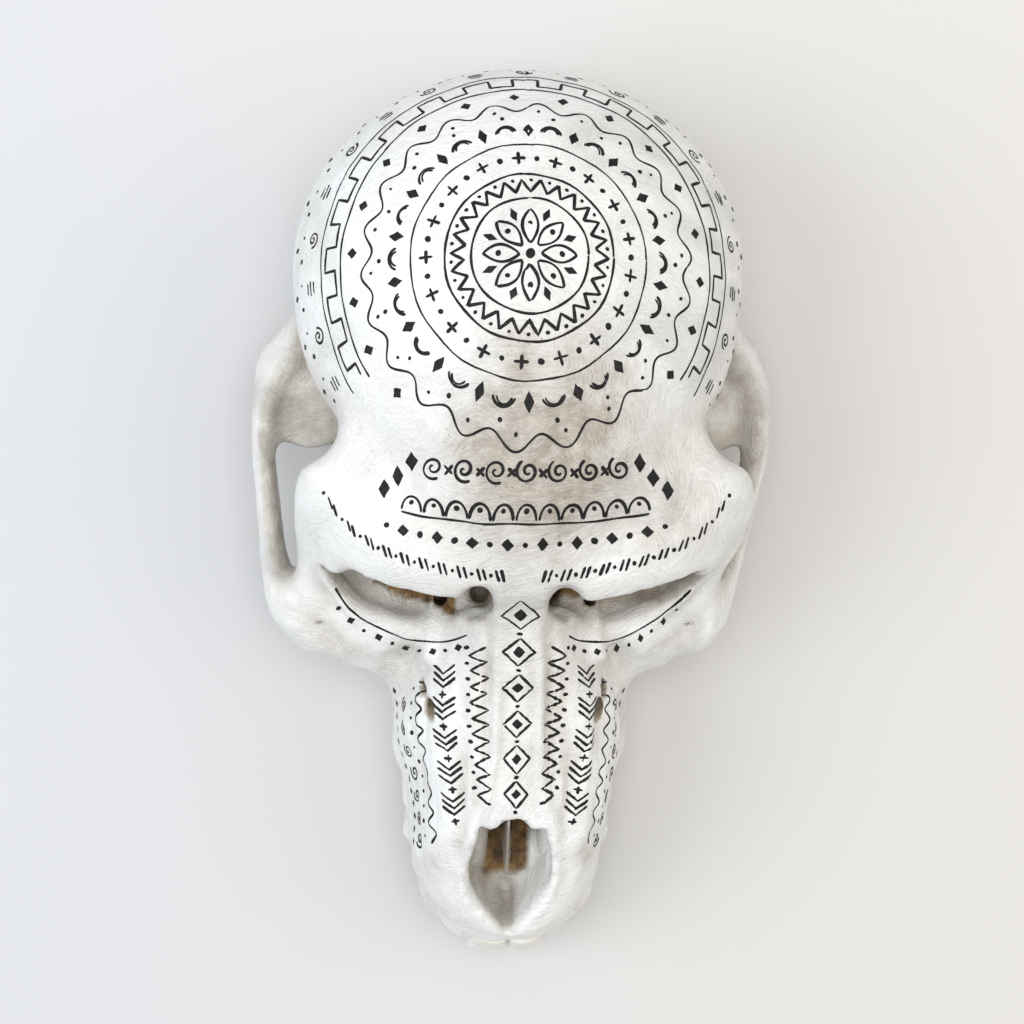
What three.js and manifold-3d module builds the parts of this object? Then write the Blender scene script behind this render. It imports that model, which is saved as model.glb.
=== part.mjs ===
import * as THREE from 'three';
import { mergeVertices } from 'three/addons/utils/BufferGeometryUtils.js';
import Module from 'manifold-3d';

// Skull of an adult female baboon without the lower jaw. Everything is measured in millimetres
// from the chewing plane: x to the side, y from the face (minus) to the back (plus), z up.
// The finished skull is tipped back until it rests on the last molars and the mastoid corners.

const VAULT = [
  { at: [0, 49, 52], r: [45.2, 40.2, 38] },
  { at: [0, 36, 56], r: [41.6, 37.5, 35.5] },
  { at: [0, 15, 57], r: [30.5, 31, 29] },
];
const VAULT_FLOOR = 24;
const NAPE = { y: 64, z: 27 };

const BROW_FRONT = [[0, -10.3], [12, -9.9], [22, -8], [30, -4.6], [38, 2.2], [48, 16]];
const BROW_HEIGHT = [[0, 64.3], [12, 65.6], [22, 66.2], [30, 64.8], [38, 59.5], [48, 48]];
const BROW_DEPTH = 5.4;
const BROW_THICK = 4.8;
const BROW_LOBE = { at: [30, 4.5, 58.5], r: [13.4, 11, 11] };
const PILLAR_SIDE = [[28, 35], [36, 37.5], [44, 38.8], [52, 39.4], [60, 38.8], [68, 37]];
const PILLAR_FRONT = [[28, -19], [36, -14.5], [44, -8.5], [52, -3], [60, 2], [68, 6]];
const PILLAR_R = 4.6;

const MUZZLE_TOP = [[-95, 20], [-90, 22], [-85, 25], [-78, 31], [-70, 38], [-62.5, 43.5], [-50, 48],
  [-38, 51.5], [-25, 55], [-13, 60.5], [5, 64]];
const MUZZLE_WIDE = [[-95, 17.5], [-80, 19], [-69, 22.2], [-60, 23.6], [-52, 25.4], [-45, 28.2],
  [-38, 29], [-30, 28.8], [-15, 25], [5, 16]];
const MUZZLE_RIDGE = [[-95, 9.5], [-80, 12.8], [-69, 15], [-56, 15.5], [-44, 15.5], [-34, 13.5],
  [-26, 10], [-18, 7], [-8, 5.2], [5, 5]];
const MUZZLE_GUM = [[-95, 7.5], [-60, 7.5], [-30, 7.5], [-20, 10], [-5, 20], [5, 24]];
const MUZZLE_ROUND = 3.4;
const MUZZLE_TIP = { y: -66, reach: 23.2, half: 21.6, round: 1.85 };

const ORBIT = { at: [20.2, -13.5, 52.6], end: [9.5, 24, 56.5], half: 14.6, tall: 12.2, deep: 38 };
const ORBIT_TAPER = [[-40, 1.3], [-14, 1.1], [0, 1], [12, 0.96], [24, 0.68], [34, 0.34], [42, 0.05]];
const ORBIT_FRONT = [[0, -17], [6, -18], [14, -19], [22, -19.6], [30, -16.6], [36, -11], [42, -4]];
const RIM_FRONT = [[4, -20.5], [9, -22.6], [17, -23.2], [25, -21], [31, -18], [36, -13.5], [40, -8.5]];
const RIM_HEIGHT = [[4, 50], [9, 46.5], [17, 41], [25, 39.6], [31, 40.6], [36, 44], [40, 50]];

const NOSE = { y: -74.2, z: 34, run: 15, deep: 13 };
const NOSE_HALF = [[-40, 6.2], [-16, 6.3], [-10, 7.6], [-4, 8.5], [2, 8.1], [7, 6.2], [11, 3.4],
  [15.5, 0.2], [20, -3]];

const ARCH_SIDE = [[-30, 34], [-20, 42.6], [-10, 47.4], [5, 50.8], [18, 51.6], [28, 49.4], [37, 44.5],
  [46, 38]];
const ARCH_HEIGHT = [[-30, 28], [-20, 30.5], [-8, 32], [8, 35], [20, 37.5], [30, 38.2], [46, 36]];
const ARCH_THICK = [[-30, 5], [-20, 4.4], [-8, 3], [8, 2.6], [22, 2.6], [32, 3.4], [46, 5]];
const ARCH_TALL = [[-30, 8], [-18, 6.6], [-6, 4.8], [8, 4.2], [22, 4.2], [32, 4], [46, 4]];
const ARCH_SHELF = { at: [42, 28.5, 36.2], r: [11.5, 13.5, 3.2] };

const PALATE = { at: [0, -49, 4], r: [13.8, 37, 11] };
const BASE_BAR_HALF = [[-14, 5], [0, 6], [20, 8], [40, 12], [56, 15]];
const BASE_BAR_HEIGHT = [[-14, 30.5], [0, 28.5], [20, 26.5], [40, 24], [56, 22.5]];
const WING_SIDE = [[-30, 14.5], [-22, 12.5], [-12, 12.8], [2, 15.5], [10, 18]];
const WING_LOW = [[-30, 10], [-22, 10.5], [-12, 14], [-2, 19], [6, 25], [10, 29]];
const WING_THICK = [[8, 1.3], [20, 1.9], [32, 5]];
const NAPE_RIDGE_BACK = [[0, 84.8], [12, 83.2], [22, 79], [30, 71.5], [36, 62], [41, 50]];
const NAPE_RIDGE_HEIGHT = [[0, 43], [20, 41.5], [34, 38], [41, 34]];
const NAPE_RIDGE_TURN = [[0, 1], [20, 0.9], [40, 0.55]];
const MASTOID = { top: [35, 50, 29], tip: [33, 49.5, 20.5], rTop: 8, rTip: 4.6 };

// Chewing teeth of one side: front end, back end, middle of the row and width of the crown.
const CHEEK_TEETH = [
  { name: 'p3', from: -73.7, to: -68.1, side: 17.4, wide: 6.6, cusps: 1 },
  { name: 'p4', from: -67.8, to: -61.4, side: 18.3, wide: 7.6, cusps: 1 },
  { name: 'm1', from: -61.1, to: -51.5, side: 18.8, wide: 8.4, cusps: 2 },
  { name: 'm2', from: -51.2, to: -39.6, side: 18.6, wide: 9.4, cusps: 2 },
  { name: 'm3', from: -39.3, to: -27.6, side: 18, wide: 9.2, cusps: 2 },
];
const CROWN_TALL = 7.6;
const ROOT_DEEP = 4.5;
const CUSP_RELIEF = 1.9;
const CANINE = { at: [14.6, -77.4], r: 3.3, tall: 11.5, root: 6 };
const INCISORS = [
  { side: 4.15, front: -89, turn: 0.2, wide: 7.8, thick: 5, tall: 10.6 },
  { side: 10, front: -85.4, turn: 0.75, wide: 6.2, thick: 4.8, tall: 9.8 },
];
const INCISOR_LEAN = 0.34;

const GAP = 0.3;
const CUT_BACK = 24;
const CUT_MUZZLE = -26.6;
const CUT_FRONT = { y: -83.4, z: 8, lean: 25 };
const ARCH_CUT = { x: 44.6, front: -9, back: 24 };
const FLOOR_FLAT = 0.45;

const clamp = (t, lo, hi) => Math.min(Math.max(t, lo), hi);

// Union and cut with a rounded seam of size k.
function smin(a, b, k) {
  const h = clamp(0.5 + (0.5 * (b - a)) / k, 0, 1);
  return b + (a - b) * h - k * h * (1 - h);
}

const smax = (a, b, k) => -smin(-a, -b, k);

function ball(p, c, r) {
  let k0 = 0;
  let k1 = 0;
  for (let i = 0; i < 3; i += 1) {
    const q = (p[i] - c[i]) / r[i];
    k0 += q * q;
    k1 += (q / r[i]) ** 2;
  }
  k0 = Math.sqrt(k0);
  return (k0 * (k0 - 1)) / (Math.sqrt(k1) + 1e-9);
}

// Tapered rod with round ends; s stretches the section.
function limb(p, a, b, ra, rb, s = [1, 1, 1]) {
  let qe = 0;
  let ee = 0;
  for (let i = 0; i < 3; i += 1) {
    const e = (b[i] - a[i]) * s[i];
    qe += (p[i] - a[i]) * s[i] * e;
    ee += e * e;
  }
  const t = clamp(qe / ee, 0, 1);
  let d = 0;
  for (let i = 0; i < 3; i += 1) {
    d += ((p[i] - a[i] - t * (b[i] - a[i])) * s[i]) ** 2;
  }
  return Math.sqrt(d) - (ra + t * (rb - ra));
}

// Smooth curve through the knots, level past its ends.
function slopes(knots) {
  const n = knots.length;
  return knots.map(([t, v], i) => {
    if (i === 0) return (knots[1][1] - v) / (knots[1][0] - t);
    if (i === n - 1) return (v - knots[n - 2][1]) / (t - knots[n - 2][0]);
    const a = t - knots[i - 1][0];
    const b = knots[i + 1][0] - t;
    return (a * a * knots[i + 1][1] + (b * b - a * a) * v - b * b * knots[i - 1][1]) / (a * b * (a + b));
  });
}

const slopeCache = new Map();

function curve(t, knots) {
  if (!slopeCache.has(knots)) slopeCache.set(knots, slopes(knots));
  const m = slopeCache.get(knots);
  let i = 0;
  while (i < knots.length - 2 && t > knots[i + 1][0]) i += 1;
  const h = knots[i + 1][0] - knots[i][0];
  const u = clamp((t - knots[i][0]) / h, 0, 1);
  const u2 = u * u;
  const u3 = u2 * u;
  return (2 * u3 - 3 * u2 + 1) * knots[i][1] + (u3 - 2 * u2 + u) * h * m[i]
    + (3 * u2 - 2 * u3) * knots[i + 1][1] + (u3 - u2) * h * m[i + 1];
}

const rod = (u, v, a, b) => (Math.hypot(u / a, v / b) - 1) * Math.min(a, b);

function braincase(p) {
  let d = ball(p, VAULT[0].at, VAULT[0].r);
  d = smin(d, ball(p, VAULT[1].at, VAULT[1].r), 6);
  d = smin(d, ball(p, VAULT[2].at, VAULT[2].r), 6);
  d = smax(d, VAULT_FLOOR - p[2], 9);
  return smax(d, (p[1] - NAPE.y) * 0.66 - (p[2] - NAPE.z) * 0.75, 9);
}

function brow(p) {
  const [x, y, z] = p;
  let d = rod(y - curve(x, BROW_FRONT), z - curve(x, BROW_HEIGHT), BROW_DEPTH, BROW_THICK);
  d = smax(d, x - 40, 5);
  d = smin(d, ball(p, BROW_LOBE.at, BROW_LOBE.r), 6);
  let post = rod(x - curve(z, PILLAR_SIDE), y - curve(z, PILLAR_FRONT), PILLAR_R, PILLAR_R);
  post = smax(post, Math.abs(z - 47) - 16, 4);
  return smin(d, post, 5);
}

function muzzle(p) {
  const [x, y, z] = p;
  const top = curve(y, MUZZLE_TOP);
  const wide = curve(y, MUZZLE_WIDE);
  const ridge = curve(y, MUZZLE_RIDGE);
  const low = curve(y, MUZZLE_GUM);
  const mid = (top + low) / 2;
  const half = (top - low) / 2;
  const f = clamp((top - z) / (top - low), 0, 1.2);
  const w = ridge + (wide - ridge) * f ** 0.8;
  const n = MUZZLE_ROUND;
  const rho = ((x / w) ** n + (Math.abs(z - mid) / half) ** n) ** (1 / n);
  let d = (rho - 1) * Math.min(w, half);
  const reach = MUZZLE_TIP.reach - 0.22 * clamp(z - 9, -5, 40);
  const ahead = Math.max(MUZZLE_TIP.y - y, 0) / reach;
  const tipHalf = MUZZLE_TIP.half + 0.6 * Math.max(y - MUZZLE_TIP.y, 0);
  const front = ((x / tipHalf) ** MUZZLE_TIP.round + ahead ** MUZZLE_TIP.round) ** (1 / MUZZLE_TIP.round);
  d = smax(d, (front - 1) * 20, 2.5);
  return smax(d, y - 2, 6);
}

function cheek(p) {
  let d = limb(p, [12, -17, 35], [25, -18.5, 34], 7, 7);
  d = smin(d, limb(p, [25, -18.5, 34], [38, -15.5, 33.5], 7, 6.2), 6);
  d = smin(d, limb(p, [12, -14, 35.5], [34, -5, 38.5], 5.5, 5), 5);
  d = smin(d, limb(p, [34, -5, 38.5], [35.5, 2, 47], 5, 4.5), 5);
  let crest = limb(p, [21, -29.5, 25], [30, -24, 27], 4.7, 4.7);
  crest = smin(crest, limb(p, [30, -24, 27], [41, -17, 30.5], 4.7, 5.4), 5);
  return smin(d, crest, 8);
}

function arch(p) {
  const [x, y, z] = p;
  const d = rod(x - curve(y, ARCH_SIDE), z - curve(y, ARCH_HEIGHT), curve(y, ARCH_THICK), curve(y, ARCH_TALL));
  return smin(smax(d, Math.abs(y - 8) - 35, 3), ball(p, ARCH_SHELF.at, ARCH_SHELF.r), 4);
}

const orbitAxis = new THREE.Vector3(...ORBIT.end).sub(new THREE.Vector3(...ORBIT.at)).normalize();
const orbitSide = new THREE.Vector3().crossVectors(orbitAxis, new THREE.Vector3(0, 0, 1)).normalize();
const orbitUp = new THREE.Vector3().crossVectors(orbitSide, orbitAxis);

function orbit(p) {
  const q = new THREE.Vector3(p[0] - ORBIT.at[0], p[1] - ORBIT.at[1], p[2] - ORBIT.at[2]);
  const s = q.dot(orbitAxis);
  const u = Math.abs(q.dot(orbitSide)) / ORBIT.half;
  const v = Math.abs(q.dot(orbitUp)) / ORBIT.tall;
  let d = ((u ** 2.5 + v ** 2.5) ** 0.4 - curve(s, ORBIT_TAPER)) * 12;
  d = smax(smax(d, s - ORBIT.deep, 3), curve(p[0], ORBIT_FRONT) - p[1], 2.5);
  return smin(d, limb(p, [11, -14, 43], [31.5, -9, 45], 5.2, 5.2), 3);
}

// Raised lower edge of the eye socket.
function orbitRim(p) {
  const [x, y, z] = p;
  const d = rod(y - curve(x, RIM_FRONT), z - curve(x, RIM_HEIGHT), 2.3, 2.2);
  return smax(d, Math.abs(x - 21.5) - 17, 4);
}

// Edge of the upper jaw that carries the teeth, with the swelling over the canine's root.
function gum(p) {
  let d = limb(p, [17.6, -31, 11], [17.4, -62, 11], 5, 3.8);
  d = smin(d, limb(p, [17.4, -62, 11], [13.9, -77.5, 10.5], 3.8, 3.2), 3);
  d = smin(d, limb(p, [13.9, -77.5, 10.5], [8.8, -83.8, 10], 3.2, 2.7), 3);
  d = smin(d, limb(p, [8.8, -83.8, 10], [0, -86.4, 10], 2.7, 2.4), 3);
  return smin(d, limb(p, [13.9, -77.6, 10], [15.2, -67, 26], 3.2, 3), 2);
}

function noseOpening(p) {
  const [x, y, z] = p;
  const t = (y - NOSE.y) * -0.757 + (z - NOSE.z) * -0.654;
  const n = (y - NOSE.y) * -0.654 + (z - NOSE.z) * 0.757;
  const end = NOSE.run - 1.5 * Math.exp(-(((x - 4.4) / 1.8) ** 2));
  let d = smax(x - curve(t, NOSE_HALF), Math.abs(t) - end, 1.2);
  d = smax(d, -n - NOSE.deep, 4);
  return smin(d, limb(p, [0, -70, 31], [0, -50, 32.5], 8, 8.5, [1, 1, 0.7]), 2);
}

function base(p) {
  const [x, y, z] = p;
  let d = rod(x, z - curve(y, BASE_BAR_HEIGHT), curve(y, BASE_BAR_HALF), 5.5);
  d = smax(d, Math.abs(y - 22) - 34, 4);
  d = smin(d, limb(p, [40, 39, 31], [14, 26, 27], 5.2, 4.2), 5);
  d = smin(d, limb(p, [37, 41, 29], [24, 34, 25], 5.4, 5.4), 5);
  d = smin(d, limb(p, MASTOID.top, MASTOID.tip, MASTOID.rTop, MASTOID.rTip), 6);
  d = smin(d, limb(p, [33, 52, 24], [15, 52, 24], 5, 5), 6);
  d = smin(d, ball(p, [35, 27, 33], [12, 9, 5]), 5);
  const back = (y - curve(x, NAPE_RIDGE_BACK)) * curve(x, NAPE_RIDGE_TURN);
  const ridge = rod(back, z - curve(x, NAPE_RIDGE_HEIGHT), 2.6, 2.6);
  d = smin(d, smax(ridge, x - 40, 3), 7);
  return smin(d, limb(p, [12.5, 55.5, 22.5], [8.5, 46, 19.5], 4.4, 4), 2.5);
}

function wings(p) {
  const [x, y, z] = p;
  let d = Math.abs(x - curve(y, WING_SIDE)) - curve(z, WING_THICK);
  d = smax(d, curve(y, WING_LOW) - z, 1.6);
  d = smax(d, Math.abs(y + 12) - 17, 2);
  return smax(d, z - 44, 2);
}

// Distance to the surface of the whole skull, less than zero inside the bone.
function skull(x, y, z) {
  const p = [Math.abs(x), y, z];
  let d = braincase(p);
  d = smin(d, limb(p, [21, 0.5, 54], [13, 20, 57], 19.6, 13, [1, 1, 1.2]), 11);
  d = smin(d, brow(p), 9);
  d = smin(d, muzzle(p), 5);
  d = smin(d, cheek(p), 6);
  d = smin(d, limb(p, [0, -9, 61], [0, -26, 47], 5, 8), 4);
  d = smax(d, -limb(p, [43, 15.5, 66], [39.5, 15, 44], 5.6, 5), 4);
  d = smax(d, -orbit(p), 2);
  d = smin(d, orbitRim(p), 2.5);
  d = smin(d, arch(p), 2.5);
  d = smin(d, base(p), 5);
  d = smin(d, wings(p), 2.5);
  d = smin(d, gum(p), 3);
  d = smax(d, -ball(p, PALATE.at, PALATE.r), 2.5);
  d = smax(d, -limb(p, [0, -22, 27], [0, -2, 24], 7, 8.2), 2);
  d = smax(d, -ball(p, [35, 25, 26], [8.5, 6, 5]), 3);
  d = smax(d, -noseOpening(p), 1.6);
  return smax(d, -limb(p, [0, 60, 16], [0, 52, 40], 7.8, 8.5), 2);
}

// The two sides of the real bone are not quite alike.
const bump = (t, mid, wide) => Math.exp(-(((t - mid) / wide) ** 2));

function sideways(x, y, z) {
  const outer = clamp((Math.abs(x) - 10) / 20, 0, 1);
  let shift = 1.2 * bump(y, -2, 16) * bump(z, 62, 14) - 2.4 * bump(y, -18, 14) * bump(z, 32, 13);
  shift *= outer * outer;
  shift -= 2.2 * clamp((x - 38) / 10, 0, 1) * bump(y, 4, 16) * bump(z, 34, 10);
  return shift - 1.1 * bump(y, -74, 13) * bump(z, 28, 16);
}

const CORNER = (c) => [c & 1, (c >> 1) & 1, (c >> 2) & 1];
const EDGES = [];
for (let axis = 0; axis < 3; axis += 1) {
  for (let c = 0; c < 8; c += 1) {
    if (!(c & (1 << axis))) EDGES.push({ a: c, b: c | (1 << axis), axis });
  }
}
const FACES = [];
for (let axis = 0; axis < 3; axis += 1) {
  const u = 1 << ((axis + 1) % 3);
  const v = 1 << ((axis + 2) % 3);
  for (const o of [0, 1 << axis]) FACES.push([o, o | u, o | u | v, o | v]);
}
const edgeOf = (a, b) => EDGES.findIndex((e) => (e.a === Math.min(a, b)) && (e.b === Math.max(a, b)));
const FACE_EDGES = FACES.map((f) => f.map((c, i) => edgeOf(c, f[(i + 1) % 4])));

// Closed surface of a field on a grid of ticks: one vertex for each sheet of the surface that
// crosses a cell, moved onto the surface, and one four-sided facet for each crossed grid edge.
function wrap(field, xs, ys, zs) {
  const dims = [xs.length, ys.length, zs.length];
  const ticks = [xs, ys, zs];
  const at = (i, j, k) => (k * dims[1] + j) * dims[0] + i;
  const value = new Float64Array(dims[0] * dims[1] * dims[2]);
  const rim = new Uint8Array(value.length);
  for (let k = 0; k < dims[2]; k += 1) {
    for (let j = 0; j < dims[1]; j += 1) {
      for (let i = 0; i < dims[0]; i += 1) {
        const edge = i === 0 || j === 0 || k === 0 || i === dims[0] - 1 || j === dims[1] - 1 || k === dims[2] - 1;
        const d = field(xs[i], ys[j], zs[k]);
        value[at(i, j, k)] = edge ? Math.max(d, 0.6) : d || 1e-6;
        rim[at(i, j, k)] = edge && d < 0.6 ? 1 : 0;
      }
    }
  }
  const points = [];
  const sheet = new Map();
  for (let k = 0; k < dims[2] - 1; k += 1) {
    for (let j = 0; j < dims[1] - 1; j += 1) {
      for (let i = 0; i < dims[0] - 1; i += 1) {
        const v = [];
        let forced = false;
        for (let c = 0; c < 8; c += 1) {
          const [a, b, e] = CORNER(c);
          v.push(value[at(i + a, j + b, k + e)]);
          if (rim[at(i + a, j + b, k + e)]) forced = true;
        }
        if (v.every((t) => t > 0) || v.every((t) => t < 0)) continue;
        const group = EDGES.map((e, n) => ((v[e.a] < 0) !== (v[e.b] < 0) ? n : -1));
        const join = (m, n) => {
          const from = group[m];
          const to = group[n];
          if (from !== to) group.forEach((g, q) => { if (g === from) group[q] = to; });
        };
        FACES.forEach((f, n) => {
          const crossed = FACE_EDGES[n].filter((e) => group[e] >= 0);
          if (crossed.length === 2) join(crossed[0], crossed[1]);
          if (crossed.length === 4) {
            f.forEach((c, m) => {
              if (v[c] < 0) join(FACE_EDGES[n][m], FACE_EDGES[n][(m + 3) % 4]);
            });
          }
        });
        const lo = [xs[i], ys[j], zs[k]];
        const size = [xs[i + 1] - xs[i], ys[j + 1] - ys[j], zs[k + 1] - zs[k]];
        const ids = new Map();
        for (const g of new Set(group)) {
          if (g < 0) continue;
          const p = [0, 0, 0];
          let count = 0;
          EDGES.forEach((e, n) => {
            if (group[n] !== g) return;
            const t = v[e.a] / (v[e.a] - v[e.b]);
            const a = CORNER(e.a);
            const b = CORNER(e.b);
            for (let q = 0; q < 3; q += 1) p[q] += lo[q] + size[q] * (a[q] + t * (b[q] - a[q]));
            count += 1;
          });
          for (let q = 0; q < 3; q += 1) p[q] /= count;
          for (let step = 0; step < 3 && !forced; step += 1) {
            const d = field(...p);
            const g3 = [0, 1, 2].map((q) => {
              const r = [...p];
              r[q] += 0.05;
              return (field(...r) - d) / 0.05;
            });
            const gg = g3[0] ** 2 + g3[1] ** 2 + g3[2] ** 2 + 1e-6;
            for (let q = 0; q < 3; q += 1) {
              const inset = 0.03 * size[q];
              p[q] = clamp(p[q] - (d * g3[q]) / gg, lo[q] + inset, lo[q] + size[q] - inset);
            }
          }
          ids.set(g, points.length / 3);
          points.push(...p);
        }
        sheet.set(at(i, j, k), group.map((g) => (g < 0 ? -1 : ids.get(g))));
      }
    }
  }
  const faces = [];
  const far = (m, n) => Math.hypot(...[0, 1, 2].map((q) => points[3 * m + q] - points[3 * n + q]));
  for (let axis = 0; axis < 3; axis += 1) {
    const u = (axis + 1) % 3;
    const w = (axis + 2) % 3;
    const n = [0, 0, 0];
    for (n[2] = 0; n[2] < dims[2]; n[2] += 1) {
      for (n[1] = 0; n[1] < dims[1]; n[1] += 1) {
        for (n[0] = 0; n[0] < dims[0]; n[0] += 1) {
          if (n[axis] >= dims[axis] - 1) continue;
          const m = [...n];
          m[axis] += 1;
          const inside = value[at(...n)] < 0;
          if (inside === (value[at(...m)] < 0)) continue;
          const ring = [[1, 1], [0, 1], [0, 0], [1, 0]].map(([a, b]) => {
            const cell = [...n];
            cell[u] -= a;
            cell[w] -= b;
            const corner = (a << u) | (b << w);
            return sheet.get(at(...cell))[edgeOf(corner, corner | (1 << axis))];
          });
          if (!inside) ring.reverse();
          if (far(ring[0], ring[2]) <= far(ring[1], ring[3])) {
            faces.push(ring[0], ring[1], ring[2], ring[0], ring[2], ring[3]);
          } else {
            faces.push(ring[1], ring[2], ring[3], ring[1], ring[3], ring[0]);
          }
        }
      }
    }
  }
  return { points, faces };
}

const wasm = await Module();
wasm.setup();

function solidOf(points, faces) {
  return new wasm.Manifold(new wasm.Mesh({
    numProp: 3,
    vertProperties: new Float32Array(points),
    triVerts: new Uint32Array(faces),
  }));
}

function solidFrom(geometry) {
  const bare = new THREE.BufferGeometry();
  bare.setAttribute('position', geometry.getAttribute('position'));
  if (geometry.index) bare.setIndex(geometry.index);
  const merged = mergeVertices(bare, 1e-4);
  return solidOf(merged.getAttribute('position').array, merged.index.array);
}

function block(x0, x1, y0, y1, z0, z1) {
  const g = new THREE.BoxGeometry(x1 - x0, y1 - y0, z1 - z0);
  g.translate((x0 + x1) / 2, (y0 + y1) / 2, (z0 + z1) / 2);
  return solidFrom(g);
}

function largest(solid) {
  return solid.decompose().sort((a, b) => b.volume() - a.volume())[0];
}

// Ticks from a list of stretches [end, step], the first entry being the start.
function run(start, ...stretches) {
  const out = [start];
  for (const [end, step] of stretches) {
    const from = out[out.length - 1];
    const count = Math.max(1, Math.round((end - from) / step));
    for (let i = 1; i <= count; i += 1) out.push(from + ((end - from) * i) / count);
  }
  return out;
}

const mirrored = (half) => [...half.slice(1).reverse().map((t) => -t), ...half];

function bone(xs, ys, zs) {
  const { points, faces } = wrap(skull, xs, ys, zs);
  for (let i = 0; i < points.length; i += 3) {
    points[i] += sideways(points[i], points[i + 1], points[i + 2]);
  }
  return solidOf(points, faces);
}

// Crown of a chewing tooth with its root: rounded in plan, cusps in pairs joined by low ridges.
function cheekTooth(tooth, side) {
  const long = tooth.to - tooth.from;
  const rows = tooth.cusps === 2 ? 4 : 3;
  const g = new THREE.BoxGeometry(2, 2, 1, 4, rows, 1);
  const pos = g.getAttribute('position');
  for (let i = 0; i < pos.count; i += 1) {
    const u = pos.getX(i);
    const v = pos.getY(i);
    const low = pos.getZ(i) < 0;
    const round = 1 / (Math.abs(u) ** 3.2 + Math.abs(v) ** 3.2 + 1e-9) ** (1 / 3.2);
    const edge = Math.max(Math.abs(u), Math.abs(v));
    const k = edge < 1e-6 ? 1 : edge * Math.min(round, 1 / edge);
    const taper = low ? 0.9 : 0.86;
    const across = (tooth.wide / 2) * u * k * taper;
    const along = (long / 2) * v * k * (low ? 0.97 : 0.85);
    const cuspU = Math.abs(Math.abs(u) - 0.5) * 2;
    const cuspV = tooth.cusps === 2 ? Math.abs(Math.abs(v) - 0.5) * 2 : Math.abs(v);
    const dip = CUSP_RELIEF * (0.5 * cuspU ** 2 + 0.62 * cuspV ** 2);
    const z = low ? Math.min(dip, CUSP_RELIEF * 0.95) : CROWN_TALL + ROOT_DEEP;
    pos.setXYZ(i, side * tooth.side + across, (tooth.from + tooth.to) / 2 + along, z);
  }
  return solidFrom(g);
}

function canine(side) {
  const g = new THREE.CylinderGeometry(CANINE.r, 0.7, CANINE.tall + CANINE.root, 8, 3);
  g.rotateX(Math.PI / 2);
  g.scale(0.9, 1.1, 1);
  const pos = g.getAttribute('position');
  const total = CANINE.tall + CANINE.root;
  for (let i = 0; i < pos.count; i += 1) {
    const t = 0.5 - pos.getZ(i) / total;
    const belly = 1 + 0.32 * Math.sin(Math.PI * t) * t;
    pos.setX(i, pos.getX(i) * belly);
    pos.setY(i, pos.getY(i) * belly + 2.2 * t * t - 1.6);
  }
  g.translate(side * CANINE.at[0], CANINE.at[1], 8 - CANINE.tall + total / 2);
  return solidFrom(g);
}

function incisor(tooth, side) {
  const total = tooth.tall + 6;
  const g = new THREE.BoxGeometry(tooth.wide, tooth.thick, total, 2, 2, 3);
  const pos = g.getAttribute('position');
  for (let i = 0; i < pos.count; i += 1) {
    const t = 0.5 - pos.getZ(i) / total;
    const u = pos.getX(i) / (tooth.wide / 2);
    const blade = 1 - 0.72 * clamp((t - 0.35) / 0.65, 0, 1);
    const waist = 0.84 + 0.16 * clamp(t / 0.7, 0, 1);
    const corner = Math.abs(pos.getY(i)) > 1 && Math.abs(u) > 0.9 ? 0.8 : 1;
    pos.setX(i, pos.getX(i) * waist * corner);
    pos.setY(i, pos.getY(i) * blade * (1 - 0.2 * u * u));
    pos.setZ(i, pos.getZ(i) + (t > 0.99 ? 0.7 * u * u : 0));
  }
  g.rotateX(INCISOR_LEAN * -1);
  g.rotateZ(side * tooth.turn);
  g.translate(side * tooth.side, tooth.front + 1.2, 1 + total / 2);
  return solidFrom(g);
}

const FACE_X = mirrored(run(0, [58, 3.4]));
const MUZZLE_X = mirrored(run(0, [36, 3.3]));
const CASE_X = mirrored(run(0, [62, 4.4]));

let braincaseSolid = bone(CASE_X, run(12, [60, 4.2], [96, 5.5]), run(8, [40, 3.4], [98, 6]));
let faceSolid = bone(FACE_X, run(-36, [34, 3.4]), run(2, [100, 3.5]));
let muzzleSolid = bone(MUZZLE_X, run(-100, [-58, 3.1], [-18, 3.8]), run(-2, [66, 3.4]));
const archSolid = (s) => bone(
  s < 0 ? run(36, [60, 2]).map((t) => -t).reverse() : run(36, [60, 2]),
  run(-18, [34, 3]),
  run(20, [50, 2.4]),
);

const h = GAP / 2;
const archBox = (s, grow) => {
  const x = [s * (ARCH_CUT.x - grow), s * 80].sort((a, b) => a - b);
  return block(x[0], x[1], ARCH_CUT.front - grow, ARCH_CUT.back + grow, -20, 120);
};

braincaseSolid = braincaseSolid.intersect(block(-90, 90, CUT_BACK + h, 130, -20, 120));
faceSolid = faceSolid.intersect(block(-90, 90, CUT_MUZZLE + h, CUT_BACK - h, -20, 120));
faceSolid = faceSolid.subtract(archBox(1, h)).subtract(archBox(-1, h));

// The leaning seam between the front bone, which carries the incisors, and the muzzle.
function ahead(shift) {
  const g = new THREE.BoxGeometry(160, 120, 240);
  g.translate(0, -60 - shift, 0);
  g.rotateX(THREE.MathUtils.degToRad(-CUT_FRONT.lean));
  g.translate(0, CUT_FRONT.y, CUT_FRONT.z);
  return solidFrom(g);
}
let premaxillaSolid = muzzleSolid.intersect(ahead(h));
muzzleSolid = muzzleSolid.intersect(block(-90, 90, -120, CUT_MUZZLE - h, -20, 120));
for (const side of [-1, 1]) {
  muzzleSolid = muzzleSolid.add(canine(side));
  for (const tooth of CHEEK_TEETH) muzzleSolid = muzzleSolid.add(cheekTooth(tooth, side));
  for (const tooth of INCISORS) premaxillaSolid = premaxillaSolid.add(incisor(tooth, side));
}
muzzleSolid = muzzleSolid.subtract(ahead(-h));
premaxillaSolid = premaxillaSolid.intersect(ahead(h));

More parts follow.
